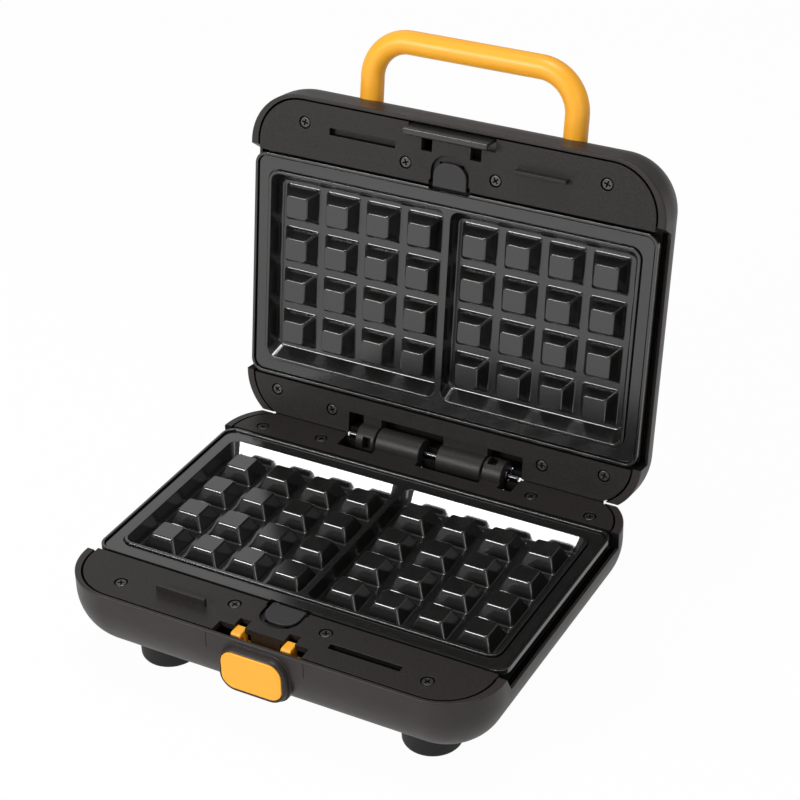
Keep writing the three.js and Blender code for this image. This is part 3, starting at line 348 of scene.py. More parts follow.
def bevelled(made, width, segments=3):
    modifier = made.modifiers.new("bevel", "BEVEL")
    modifier.width = width
    modifier.segments = segments
    modifier.limit_method = "ANGLE"
    modifier.angle_limit = math.radians(BEVEL_DEGREES)
    return settled(made)


def facing_front(made, y):
    """Turns a solid drawn upwards into one drawn towards the front: z becomes -y and y becomes z."""
    return moved(made, Matrix.Translation((0, y, 0)) @ Matrix.Rotation(math.pi / 2, 4, "X"))


def smooth(mesh, sharp_degrees):
    mesh.shade_smooth()
    mesh.set_sharp_from_angle(angle=math.radians(sharp_degrees))


def piece(made, name, place, body, nodes, slot, look, sharp_degrees=32, painted_shade_test=None):
    """Hands a finished solid over; its faces for which the shade test is true get painted shade: the
    near-black material that stands in for the shade of deep, unlit places.
    """
    shaded = [face.index for face in made.data.polygons if painted_shade_test and painted_shade_test(face.center, face.normal)]
    made.name = name
    made.data.name = name
    moved(made, place)
    smooth(made.data, sharp_degrees)
    modifier = made.modifiers.new("normals", "WEIGHTED_NORMAL")
    modifier.keep_sharp = True
    made.data.materials.clear()
    made.data.materials.append(look)
    # A second slot with painted shade, for the faces in shade.
    if shaded:
        made.data.materials.append(looks.recess)
    for index in shaded:
        made.data.polygons[index].material_index = 1
    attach(made, body)
    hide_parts(*nodes)
    return made


# Shells.

def arc(x, y, radius, start, end, steps):
    angles = [start + (end - start) * step / steps for step in range(steps + 1)]
    return [(x + radius * math.cos(angle), y + radius * math.sin(angle)) for angle in angles]


def outline(inset, margin, rear, fillet, z, front_gap=0.0):
    """The halves' outline: four like corners, the rear two cut short by the straight rear wall."""
    share = 1 - shell.corner_shrink * inset / shell.round_run
    radius = (shell.corner - margin) * share
    x = shell.half_width - inset - shell.side_share * margin - radius
    front = shell.front + inset + shell.front_share * margin + radius + front_gap
    y = shell.arc_rear - inset - margin - radius
    reach = rear - fillet - y
    sideways = math.sqrt((radius - fillet) ** 2 - reach ** 2)
    turn = math.atan2(reach, sideways)
    right = arc(x, front, radius, -math.pi / 2, 0.0, 2 * CORNER_STEPS)
    right += arc(x, y, radius, 0.0, turn, 2 * CORNER_STEPS)
    right += arc(x + sideways, y + reach, fillet, turn, math.pi / 2, EASE_STEPS)[1:]
    left = [(-px, py) for px, py in reversed(right)]
    return [(px, py, z) for px, py in right + left]


def shell_ring(inset, margin, z):
    return outline(inset, margin, shell.rear - inset - margin, shell.rear_fillet, z)


def wall_levels(margin, floor_rise):
    """Insets and heights of the shell's rounded side, from the floor up to where it runs straight."""
    rise = shell.round_height - floor_rise
    run = shell.round_run - margin + floor_rise
    levels = []
    for step in range(shell.round_steps + 1):
        angle = math.pi / 2 * (1 - step / shell.round_steps)
        levels.append((run * (1 - math.cos(angle)), -shell.straight - rise * math.sin(angle)))
    return levels


def shell_inside():
    """The levels of the shell's inner face, from the floor up."""
    wall = shell.rim_wall
    return [shell_ring(inset, wall, z) for inset, z in wall_levels(wall, shell.floor_wall)]


def shell_bowl():
    wall = shell.rim_wall
    rings = [shell_ring(inset, 0.0, z) for inset, z in wall_levels(0.0, 0.0)]
    rings += [shell_ring(0.0, inset, -drop) for inset, drop in easing(shell.rim_ease)]
    rings += [shell_ring(0.0, wall - inset, -drop) for inset, drop in reversed(easing(shell.rim_inner_ease))]
    return loft(rings + shell_inside()[::-1])


def shell_hollow():
    return loft([*shell_inside(), shell_ring(0.0, shell.rim_wall, OVERRUN)])


def side_recess(side):
    """The cutter that takes the side wall down beside the plate."""
    x0, x1 = sorted((side * SIDE_INNER, side * (shell.half_width + OVERRUN)))
    rear = shell.recess_rear
    rings = []
    for z in (-shell.straight, OVERRUN):
        front = shell.recess_front - shell.recess_slant / shell.straight * z
        rings.append([(x0, front, z), (x1, front, z), (x1, rear, z), (x0, rear, z)])
    return loft(rings)


def side_groove(side):
    """The cutter that leaves that lowered wall thin."""
    x0, x1 = sorted((side * SIDE_INNER, side * (shell.half_width - shell.side_wall)))
    return box(x0, x1, shell.recess_front, shell.recess_rear, -shell.side_depth, OVERRUN - shell.straight)


def shell_cutters(far, own_far):
    """The cutters both shells share; far and own_far are the hinge window's left and right ends."""
    rear = shell.rear + OVERRUN
    windows = [
        box(x0, x1, hinge.window_front, rear, -hinge.window_depth, OVERRUN)
        for x0, x1 in ((-far, -hinge.own_near), (hinge.open_near, own_far))
    ]
    tabs = across(hinge.window_half, hinge.window_front, rear, hinge.tab_top, OVERRUN)
    return [both_sides(side_recess), both_sides(side_groove), group(windows), tabs, deck_room()]


def deck_room():
    """The cutter that lets the deck run out to the rear wall."""
    margin = shell.rim_wall + deck.room_gap
    end = shell.arc_rear - margin - deck.room_end
    rings = [outline(0.0, margin, end, deck.rear_fillet, z) for z in (-deck.thick - GAP, OVERRUN)]
    ahead = across(shell.half_width, shell.front, deck.well_rear, -SHELL_DEPTH, 2 * OVERRUN)
    middle = across(hinge.window_half, deck.well_rear - OVERRUN, shell.arc_rear, -SHELL_DEPTH, 2 * OVERRUN)
    return cut(loft(rings), [ahead, middle])


def thinning():
    """The cutter that thins the front wall behind the latch."""
    front = shell.front + shell.thin_wall
    return across(latch.recess_half, front, deck.front, -latch.thinning_depth, OVERRUN)


def bezel():
    """The soft collar round the latch button, drawn on the front wall: a low step, then a rounded ring."""
    z0, z1 = latch.bezel_z
    lip = latch.bezel_lip
    edge = latch.bezel_edge
    rise = latch.bezel_proud - lip
    levels = [(0.0, latch.bezel_root), (0.0, edge), (edge, lip), (2 * lip, lip)]
    for a in quarter_steps(8)[1:]:
        levels.append((2 * lip + latch.bezel_run * (1 - math.cos(a)), lip + rise * math.sin(a)))
    rings = [
        centred(latch.bezel_half - i, (z1 - z0) / 2 - i, latch.bezel_corner - i, out, y=(z0 + z1) / 2)
        for i, out in levels
    ]
    return cut(facing_front(loft(rings), shell.front), [shell_hollow()])


def latch_opening():
    limits = around(0.0, latch.button_z, *(half + latch.opening_gap for half in latch.button_half))
    corner = latch.button_corner + latch.opening_gap
    depths = (latch.opening_root, latch.bezel_proud)
    return facing_front(well(*limits, (corner, corner), *depths, latch.opening_flare), shell.front)


def seam(side):
    """The cutter for a short joint in the front wall beside the latch."""
    x = side * latch.seam_x
    half = latch.seam_width / 2
    return box(x - half, x + half, shell.front - OVERRUN, shell.front + latch.seam_width, *latch.seam_z)


def clip_room(side):
    return along_hinge(hinge.clip_radius + GAP, *sorted(side * x for x in hinge.clip_room))


def base_shell():
    body = join(shell_bowl(), [bezel()])
    stems = bores("Z", foot.stem, *FLOOR_HOLE, [(side * foot.x, y) for side in SIDES for y in foot.ys])
    rear = shell.rear + OVERRUN
    cord = bores("Y", gland.neck, shell.rear - shell.round_run / 2, rear, [(gland.x, gland.z)])
    openings = [latch_opening(), thinning(), both_sides(seam), both_sides(clip_room), stems, cord]
    return cut(body, [*shell_cutters(*hinge.base_far), *openings])


def lid_shell():
    ends = [(side * handle.x, handle.z) for side in SIDES]
    legs = bores("Y", handle.radius, shell.front - OVERRUN, handle.root, ends)
    lamps = bores("Z", lamp.radius, *FLOOR_HOLE, [(side * lamp.x, lamp.y) for side in SIDES])
    return cut(shell_bowl(), [*shell_cutters(*hinge.lid_far), thinning(), legs, lamps])


# Inner frames.

def deck_plate():
    rings = [
        outline(0.0, deck.margin + inset, deck.rear - inset, deck.rear_fillet, z, deck.front_gap)
        for inset, z in eased_levels(-deck.thick, 0.0, deck.ease)
    ]
    open_well = across(shell.half_width, deck.well_front, deck.well_rear, -SHELL_DEPTH, OVERRUN)
    return cut(loft(rings), [open_well])


def well_walls():
    front = deck.well_front - deck.well_wall
    rear = deck.well_rear + deck.well_wall
    outer = across(deck.half - deck.ledge_margin, front, rear, deck.ledge_bottom, -deck.thick / 2)
    room = across(shell.half_width, deck.well_front, deck.well_rear, deck.ledge_top, OVERRUN)
    low = plate.centre_y - deck.ledge_half_length
    high = plate.centre_y + deck.ledge_half_length
    depths = (deck.ledge_bottom - OVERRUN, deck.ledge_top + OVERRUN)
    return cut(outer, [room, across(deck.ledge_half_width, low, high, *depths)])


def hinge_housing():
    wall = hinge.housing_wall
    front = hinge.window_front - wall
    return across(hinge.window_half + wall, front, deck.back, -hinge.window_depth - wall, -deck.thick / 2)


def knuckle(start, end):
    barrel = along_hinge(hinge.barrel, start, end, hinge.barrel_ease, ROUND_SIDES)
    front = hinge.window_front - hinge.housing_wall / 2
    arm = box(start, end, front, hinge.y, hinge.arm_bottom, hinge.arm_top)
    return join(barrel, [bevelled(arm, hinge.arm_ease)])


def knuckles():
    bore = along_hinge(hinge.pin + GAP, hinge.big[0] - OVERRUN, hinge.small[1] + OVERRUN)
    low = hinge.y - hinge.pocket_half
    high = hinge.y + hinge.pocket_half
    pocket = box(*hinge.pocket, low, high, hinge.z + hinge.pocket_floor, hinge.z + hinge.barrel + OVERRUN)
    return cut(group([knuckle(*hinge.big), knuckle(*hinge.small)]), [bore, pocket])


def screw_wells():
    radius = screw.head + screw.room
    profile = [(radius, screw.floor), *((radius + out, -drop) for out, drop in easing(deck.ease))]
    profile.append((radius + deck.ease, OVERRUN))
    places = [Matrix.Translation((x, y, 0)) for x, y in screw.places]
    return group([moved(turned(profile, SMALL_SIDES), place) for place in places])


def latch_cutouts():
    low = -deck.thick - OVERRUN
    half = latch.notch_half
    front = latch.recess_rear - OVERRUN
    hooks = [side * latch.hook_x for side in SIDES]
    recess = across(latch.recess_half, shell.front, latch.recess_rear, low, OVERRUN)
    notches = group([box(x - half, x + half, front, latch.notch_rear, low, OVERRUN) for x in hooks])
    return [recess, notches]


def release_cutouts():
    r = release
    rear = deck.well_front + OVERRUN
    corners = (r.well_corner, r.rear_corner)
    arch = well(-r.well_half, r.well_half, r.well_front, rear, corners, -r.shelf, 0.0, deck.ease)
    slot = across(r.neck_half + GAP, r.neck[0] - r.travel - GAP, rear, -deck.thick - OVERRUN, OVERRUN)
    mouth_low = r.tongue_top - r.tongue_thick - GAP
    mouth = across(r.tongue_half + 2 * GAP, r.face[1] - r.travel - GAP, rear, mouth_low, OVERRUN)
    return [arch, slot, mouth]


def rib():
    bar = box(*around(*deck.rib, *deck.rib_half), -deck.thick / 2, deck.rib_height)
    return bevelled(bar, deck.rib_ease)


def rib_slot():
    """The cutter for the slot that takes the other half's rib."""
    x, y = deck.rib
    corners = (deck.slot_corner, deck.slot_corner)
    return well(*around(-x, y, *deck.slot_half), corners, -deck.slot_depth, 0.0, deck.slot_flare)


def slot_tray():
    """The box under that slot."""
    x, y = deck.rib
    wall = deck.well_wall / 2
    halves = [half + wall for half in deck.slot_half]
    return box(*around(-x, y, *halves), -deck.slot_depth - wall, -deck.thick / 2)


def lid_stop(side):
    """A low ledge behind the base's deck, which the open lid's rear wall comes down to."""
    sideways, along, upwards = deck.stop
    return bevelled(box(*sorted(side * x for x in sideways), *along, *upwards), deck.stop_ease)


def in_frame_shadow(spot, normal):
    """Whether a spot on the inner frame is in a gap, the slot, the hinge window or behind the deck, and so
    gets painted shade.
    """
    upright = abs(normal.z) < UPRIGHT
    at_latch = abs(spot.x) < latch.recess_half + NEAR and spot.y < latch.notch_rear + NEAR
    at_hinge = abs(spot.x) < hinge.window_half + NEAR and spot.y > hinge.window_front - NEAR
    if upright and -deck.thick < spot.z < -deck.ease and not at_latch and not at_hinge:
        return True
    x, y = deck.rib
    half_x, half_y = deck.slot_half
    if abs(spot.x + x) < half_x + NEAR and abs(spot.y - y) < half_y + NEAR:
        return upright and spot.z < -LIT_DEPTH
    if spot.y > deck.rear + TOUCH and abs(spot.x) > hinge.window_half:
        return True
    if abs(spot.x) > deck.half - deck.ledge_margin - NEAR and deck.well_front < spot.y < deck.well_rear:
        return True
    walls = (abs(spot.x) - hinge.window_half, spot.y - hinge.window_front, spot.z + hinge.window_depth)
    return at_hinge and spot.z < -LIT_DEPTH and any(abs(distance) < TOUCH for distance in walls)


def in_shell_shadow(spot, normal):
    """Whether a spot on a shell is on the inside of its rim or on the wall behind the hinge, and so gets
    painted shade.
    """
    inward = normal.x * spot.x + normal.y * (spot.y - plate.centre_y) < 0
    at_rim = -shell.side_depth - NEAR < spot.z < -NEAR and abs(spot.x) > latch.recess_half
    if inward and at_rim and abs(normal.z) < UPRIGHT:
        return True
    at_hinge = abs(spot.x) < hinge.window_half + NEAR and hinge.window_front < spot.y < shell.rear - GAP
    return at_hinge and -hinge.window_depth - NEAR < spot.z < hinge.tab_top + NEAR


def inner_frame(extras):
    web = across(release.web_half, *release.web, release.web_bottom, -deck.thick / 2)
    body = join(deck_plate(), [well_walls(), hinge_housing(), web, slot_tray(), *extras])
    rear = shell.rear + OVERRUN
    window = across(hinge.window_half, hinge.window_front, rear, -hinge.window_depth, OVERRUN)
    body = cut(body, [window, screw_wells(), rib_slot(), *latch_cutouts(), *release_cutouts()])
    return join(body, [rib(), knuckles()])


# Waffle plates.

def bezier(a, b, c, steps=EASE_STEPS):
    """Points on the curve from a to c that leaves and arrives along a-b and b-c."""
    points = []
    for step in range(steps + 1):
        t = step / steps
        points.append(tuple((1 - t) ** 2 * p + 2 * t * (1 - t) * q + t * t * r for p, q, r in zip(a, b, c)))
    return points


def stud(x, y):
    """A stud with a fillet at its foot and rounded upper edges."""
    depth = plate.cavity_depth
    ease = plate.stud_ease
    fillet = plate.floor_fillet
    runs = [base - top for base, top in zip(plate.stud_base, plate.stud_top)]
    tilt = sum(runs) / 2 / depth
    profile = [(-plate.stud_root, -fillet)]
    profile += bezier((0.0, -fillet), (0.0, 0.0), (fillet, 0.0), 4)
    profile += bezier((depth - ease, 0.0), (depth, 0.0), (depth, ease * (1 - tilt)))
    rings = []
    for rise, inset in profile:
        share = max(rise, 0.0) / depth
        half_x, half_y = (base - run * share - inset for base, run in zip(plate.stud_base, runs))
        corner = plate.stud_corner - max(inset, 0.0) / 2
        if rise <= 0.0:
            corner += plate.stud_spread
        rings.append(centred(half_x, half_y, corner, rise - depth, x, y, plate.stud_corner_steps))
    return loft(rings)


def studs(side):
    inner = plate.divider_half + plate.divider_run
    outer = plate.ridge_half_width - plate.ridge_width - plate.side_run
    middle = side * (inner + outer) / 2
    right, back = plate.pitch
    steps = [i - (plate.count - 1) / 2 for i in range(plate.count)]
    return group([stud(middle + i * right, plate.centre_y + j * back) for i in steps for j in steps])


def cavity(side):
    """The cutter for one waffle's hollow, with a filleted floor and rounded upper edges."""
    depth = plate.cavity_depth
    outer = plate.ridge_half_width - plate.ridge_width
    half_length = plate.ridge_half_length - plate.ridge_width
    fillet = plate.floor_fillet
    flare = plate.ridge_ease

    def ring(rise, inset):
        share = 1 - rise / depth
        near = plate.divider_half + plate.divider_run * share + inset
        far = outer - plate.side_run * share - inset
        half = half_length - plate.end_run * share - inset
        corner = plate.cavity_corner + (plate.floor_corner - plate.cavity_corner) * share - inset
        return centred((far - near) / 2, half, corner, rise - depth, side * (near + far) / 2, plate.centre_y)

    curve = bezier((0.0, fillet), (0.0, 0.0), (fillet, 0.0))
    curve += bezier((depth - flare, 0.0), (depth, 0.0), (depth, -flare))
    rings = [ring(rise, inset) for rise, inset in curve]
    rings.append([(x, y, OVERRUN) for x, y, _ in rings[-1]])
    return loft(rings)


def plate_slab(half_x, half_y, corner, z0, z1, top_ease=0.0, bottom_ease=0.0):
    """A rounded slab about the middle of the plate."""
    limits = around(0.0, plate.centre_y, half_x, half_y)
    return slab(*limits, (corner, corner), z0, z1, top_ease, bottom_ease)


def plate_frame_groove():
    """The cutter for the lowered band between the outer rim and the ridge."""
    *halves, corner = RIM_INSIDE
    limits = around(0.0, plate.centre_y, *halves)
    outer = well(*limits, (corner, corner), -plate.band_depth, 0.0, plate.rim_ease)
    levels = [(inset, -drop) for inset, drop in easing(plate.ridge_ease)]
    levels = [(0.0, -plate.band_depth - OVERRUN), *levels, (plate.ridge_ease, 2 * OVERRUN)]
    rings = [centred(*(size - inset for size in RIDGE_OUTSIDE), z, y=plate.centre_y) for inset, z in levels]
    return cut(outer, [loft(rings)])


def creases():
    """Cutters for the fine lines at the foot of the rim and of the ridge."""
    low = -plate.band_depth - plate.crease_depth
    found = []
    for sizes in (RIM_INSIDE, [size + plate.crease for size in RIDGE_OUTSIDE]):
        inner = plate_slab(*(size - plate.crease for size in sizes), low - OVERRUN, 2 * OVERRUN)
        found.append(cut(plate_slab(*sizes, low, OVERRUN), [inner]))
    return found


def in_plate_shadow(spot, normal):
    """Whether a spot on the plate is down in one of the fine lines, or on a side that faces a deck, and so
    gets painted shade.
    """
    x = abs(spot.x)
    y = abs(spot.y - plate.centre_y)
    at_deck = y > plate.half_length - plate.edge_band and x < plate.half_width - plate.corner
    if at_deck and abs(normal.z) < plate.end_lean and spot.z > -plate.flange:
        return True
    top = -plate.band_depth - TOUCH
    past_ridge = x > plate.ridge_half_width - TOUCH or y > plate.ridge_half_length - TOUCH
    inside_rim = x < plate.half_width - plate.edge_band and y < plate.half_length - plate.edge_band
    return past_ridge and inside_rim and top - plate.crease_depth < spot.z < top


def waffle_plate():
    p = plate
    body = plate_slab(p.half_width, p.half_length, p.corner, -p.flange, 0.0, p.rim_ease, p.flange_ease)
    half_x = p.ridge_half_width + p.body_margin
    half_y = p.ridge_half_length + p.body_margin
    under = plate_slab(half_x, half_y, p.ridge_corner, PLATE_UNDERSIDE, -p.flange / 2, 0.0, p.body_ease)
    notch_rear = PLATE_FRONT + p.notch_depth
    notch = across(p.notch_half, PLATE_FRONT - OVERRUN, notch_rear, -p.flange - OVERRUN, OVERRUN)
    body = cut(join(body, [under]), [plate_frame_groove(), *creases(), cavity(-1), cavity(1), notch])
    return join(body, [studs(-1), studs(1)])


# Screws, feet, hinge pin and small fittings.

def cross_cutter():
    half = screw.slot_half
    wide = screw.slot_width
    bars = []
    for turn in (0.0, math.pi / 2):
        rings = []
        for reach, z in ((screw.slot_taper * half, -screw.slot_depth), (half, 0.0), (half, OVERRUN)):
            rings.append([(-reach, -wide, z), (reach, -wide, z), (reach, wide, z), (-reach, wide, z)])
        bars.append(moved(loft(rings), Matrix.Rotation(turn, 4, "Z")))
    return join(bars[0], [bars[1]])


def screw_solid():
    low = -screw.head_height
    profile = [(screw.shank, low - screw.length), (screw.shank, low), (screw.head, low)]
    profile += [(screw.head - inset, -drop) for inset, drop in easing(screw.head_ease)]
    return cut(turned(profile, SMALL_SIDES), [cross_cutter()])


def in_screw_slot_shadow(x, y, z):
    """Whether a spot on the screw is inside the cross in its head, and so gets painted shade."""
    return -screw.slot_depth - TOUCH < z < -TOUCH and math.hypot(x, y) < screw.slot_half


def foot_solid():
    top = -SHELL_DEPTH - GAP / 2
    bottom = -SHELL_DEPTH - foot.height
    edge = foot.edge
    inset, rise = foot.chamfer
    profile = [(foot.bottom - edge, bottom), (foot.bottom - inset, bottom + rise)]
    profile.append((foot.bottom, bottom + edge))
    for a in quarter_steps(8)[1:]:
        radius = foot.bottom + (foot.radius - foot.bottom) * math.sin(a)
        profile.append((radius, bottom + edge + (foot.ease - edge) * (1 - math.cos(a))))
    profile += [(foot.radius, top - foot.lip), (foot.radius - foot.lip, top)]
    profile += [(foot.stem, top), (foot.stem, FLOOR_INSIDE + foot.stem_rise)]
    return turned(profile, ROUND_SIDES)


def cord_gland():
    face = gland.face
    place = (gland.x, gland.z)
    collar = rod("Y", gland.flange, face + GAP / 2, face + gland.thick, *place, gland.ease)
    neck = rod("Y", gland.neck, face - shell.rim_wall - gland.inside, face + gland.thick / 2, *place)
    hole = rod("Y", gland.bore, face - gland.depth, face + gland.thick + OVERRUN, *place)
    return cut(join(collar, [neck]), [hole])


def pilot_lamp(x):
    face = -SHELL_DEPTH
    profile = [(share * lamp.rim, face - out * lamp.proud) for share, out in lamp.dome]
    profile += [(lamp.rim, face - lamp.lip), (lamp.rim, face)]
    profile += [(lamp.radius, face), (lamp.radius, face + lamp.depth)]
    return moved(turned(profile, SMALL_SIDES), Matrix.Translation((x, lamp.y, 0)))


def hinge_clip(side):
    near, far = sorted(side * x for x in hinge.clip)
    disc = along_hinge(hinge.clip_radius, near, far, hinge.clip_ease)
    return cut(disc, [along_hinge(hinge.pin + GAP, near - OVERRUN, far + OVERRUN)])


# Latch.

def hook(x):
    front, rear = latch.stem
    low = latch.bar[1] - OVERRUN
    tip = latch.hook_tip
    top = latch.hook_top
    slope = latch.hook_slope
    profile = [(front, low), (front, latch.hook_under), (tip, latch.hook_under), (tip, top - slope)]
    profile += [(tip + slope, top), (rear, top), (rear, low)]
    rings = [[(x + side * latch.hook_half, y, z) for y, z in profile] for side in SIDES]
    return bevelled(loft(rings), latch.hook_ease, 4)


def hook_carriage():
    bar = across(latch.bar_half, *latch.stem, *latch.bar)
    return join(bar, [hook(side * latch.hook_x) for side in SIDES])


def latch_button():
    half_x, half_z = latch.button_half
    corner = latch.button_corner
    levels = [(inset, latch.button_thick - drop) for inset, drop in easing(latch.button_ease, 8)]
    rings = [
        centred(half_x - i, half_z - i, corner - i, out, y=latch.button_z, steps=16)
        for i, out in [(0.0, 0.0), *levels]
    ]
    cap = facing_front(loft(rings), latch.button_face + latch.button_thick)
    neck_front = latch.button_face + latch.button_thick / 2
    return join(cap, [across(latch.neck_half, neck_front, latch.stem[0] - GAP, *latch.bar)])


def strike_tab(side):
    x0, x1 = sorted((side * strike.tab_inner, side * strike.half))
    top = -deck.thick - GAP
    return box(x0, x1, strike.front, strike.tab_rear, top - strike.tab_thick, top)


def latch_strike():
    neck = across(strike.half, strike.front, strike.neck_rear, -strike.foot_depth, strike.reach)
    lip_low = strike.reach - strike.lip_height
    lip = across(strike.half, strike.front, strike.lip_rear, lip_low, strike.reach)
    parts = [bevelled(lip, strike.lip_ease, 6), both_sides(strike_tab)]
    return join(bevelled(neck, strike.neck_ease), parts)


# Release buttons.

def release_button():
    r = release
    corners = (r.face_corner, r.rear_corner)
    face = slab(-r.face_half, r.face_half, *r.face, corners, -r.face_thick, 0.0, r.face_ease)
    guide_top = -deck.thick - GAP
    neck = across(r.neck_half, *r.neck, guide_top - OVERRUN, -r.face_thick / 2)
    guide = across(r.guide_half, *r.guide, r.guide_bottom, guide_top)
    tongue_rear = PLATE_FRONT + plate.notch_depth - GAP
    low = r.tongue_top - r.tongue_thick
    tongue = across(r.tongue_half, r.face[1], tongue_rear, low, r.tongue_top)
    stalk = across(r.neck_half, r.guide[1] - OVERRUN, r.face[1] + OVERRUN, low, r.tongue_top)
    return join(face, [neck, guide, stalk, tongue])


def in_release_shadow(spot, normal):
    """Whether a spot on the release button is behind its face or under it, and so gets painted shade."""
    return spot.y > release.face[1] - NEAR or spot.z < -release.lit_depth


# Springs.

def coil(radius, wire, turns, x, z, y0, y1):
    """A round wire wound about a line along y, from y0 to y1."""
    middle = radius - wire / 2
    rise = (y1 - y0 - wire) / (2 * math.pi * turns)
    rings = []
    for step in range(turns * COIL_STEPS + 1):
        turn = 2 * math.pi * step / COIL_STEPS
        out = Vector((math.cos(turn), 0.0, math.sin(turn)))
        along = Vector((-middle * math.sin(turn), rise, middle * math.cos(turn))).normalized()
        side = along.cross(out)
        centre = Vector((x, y0 + wire / 2 + rise * turn, z)) + middle * out
        spokes = [math.cos(a) * out + math.sin(a) * side for a in circle_steps(WIRE_SIDES)]
        rings.append([tuple(centre + wire / 2 * spoke) for spoke in spokes])
    return loft(rings)


def add_spring(name, place, body, node_name, sizes, x, z, ends):
    """A coil from one end to the other; the first end is its seat."""
    made = coil(*sizes, x, z, min(ends), max(ends))
    piece(made, name, place, body, [node_name], "spring_steel", looks.bright_steel, WIRE_SHARP)
    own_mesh(made)


# Handle.

def handle_path():
    """Places and directions along the middle of the loop."""
    bend = handle.bend
    elbow_x = handle.x - bend
    elbow_y = handle.bar_y + bend
    places = [((-handle.x, y), (0.0, -1.0)) for y in (handle.root, (handle.root + elbow_y) / 2)]
    for a in quarter_steps(handle.bend_steps):
        spot = (-elbow_x - bend * math.cos(a), elbow_y - bend * math.sin(a))
        places.append((spot, (math.sin(a), -math.cos(a))))
    places.append(((0.0, handle.bar_y), (1.0, 0.0)))
    mirrored = [((-x, y), (dx, -dy)) for (x, y), (dx, dy) in reversed(places[:-1])]
    return places + mirrored


def handle_loop():
    rings = []
    for (x, y), (dx, dy) in handle_path():
        ring = []
        for a in circle_steps(handle.sides):
            out = handle.radius * math.cos(a)
            ring.append((x + out * dy, y - out * dx, handle.z + handle.radius * math.sin(a)))
        rings.append(ring)
    return loft(rings)


# Materials.

def wire(tree, made, inputs):
    for name, value in inputs.items():
        if isinstance(value, bpy.types.NodeSocket):
            tree.links.new(value, made.inputs[name])
        else:
            made.inputs[name].default_value = value


def node(tree, kind, inputs, **settings):
    made = tree.nodes.new(kind)
    for name, value in settings.items():
        setattr(made, name, value)
    wire(tree, made, inputs)
    return made


def blank(name):
    material = bpy.data.materials.new(name)
    material.use_nodes = True
    tree = material.node_tree
    return material, tree, tree.nodes["Principled BSDF"]


def speckled(tree, place, low, high, scale, contrast):
    """A colour that wanders a little between two close tones."""
    noise = node(tree, "ShaderNodeTexNoise", {
        "Vector": place, "Scale": scale, "Detail": 4.0, "Roughness": 0.6,
    })
    ramp = tree.nodes.new("ShaderNodeValToRGB")
    for element, way, tone in zip(ramp.color_ramp.elements, SIDES, (low, high)):
        element.position = 0.5 + way * contrast
        element.color = (*tone, 1.0)
    wire(tree, ramp, {"Fac": noise.outputs["Fac"]})
    return ramp.outputs["Color"]


def surface(name, low, high, roughness, metallic=0.0, grain=(2200.0, 0.00003), mottle=60.0, edge=0.0004,
            specular=0.5, wander=0.06):
    """A finish with its own tone, fine grain, softly rounded edges and uneven gloss."""
    material, tree, shader = blank(name)
    place = tree.nodes.new("ShaderNodeTexCoord").outputs["Object"]
    color = speckled(tree, place, low, high, mottle, 0.25)
    gloss = node(tree, "ShaderNodeTexNoise", {"Vector": place, "Scale": 2.2 * mottle, "Detail": 3.0})
    spread = node(tree, "ShaderNodeMapRange", {
        "Value": gloss.outputs["Fac"], "To Min": roughness - wander, "To Max": roughness + wander,
    })
    soft = node(tree, "ShaderNodeBevel", {"Radius": edge}, samples=4)
    scale, depth = grain
    texture = node(tree, "ShaderNodeTexNoise", {
        "Vector": place, "Scale": scale, "Detail": 2.0, "Roughness": 0.7,
    })
    bump = node(tree, "ShaderNodeBump", {
        "Distance": depth, "Height": texture.outputs["Fac"], "Normal": soft.outputs["Normal"],
    })
    wire(tree, shader, {
        "Base Color": color, "Roughness": spread.outputs["Result"], "Normal": bump.outputs["Normal"],
        "Metallic": metallic, "Specular IOR Level": specular,
    })
    return material


def lens(name, color):
    material, tree, shader = blank(name)
    place = tree.nodes.new("ShaderNodeTexCoord").outputs["Object"]
    tone = speckled(tree, place, color, tuple(0.8 * c for c in color), 400.0, 0.3)
    wire(tree, shader, {"Base Color": tone, "Roughness": 0.12, "Coat Weight": 0.6})
    return material


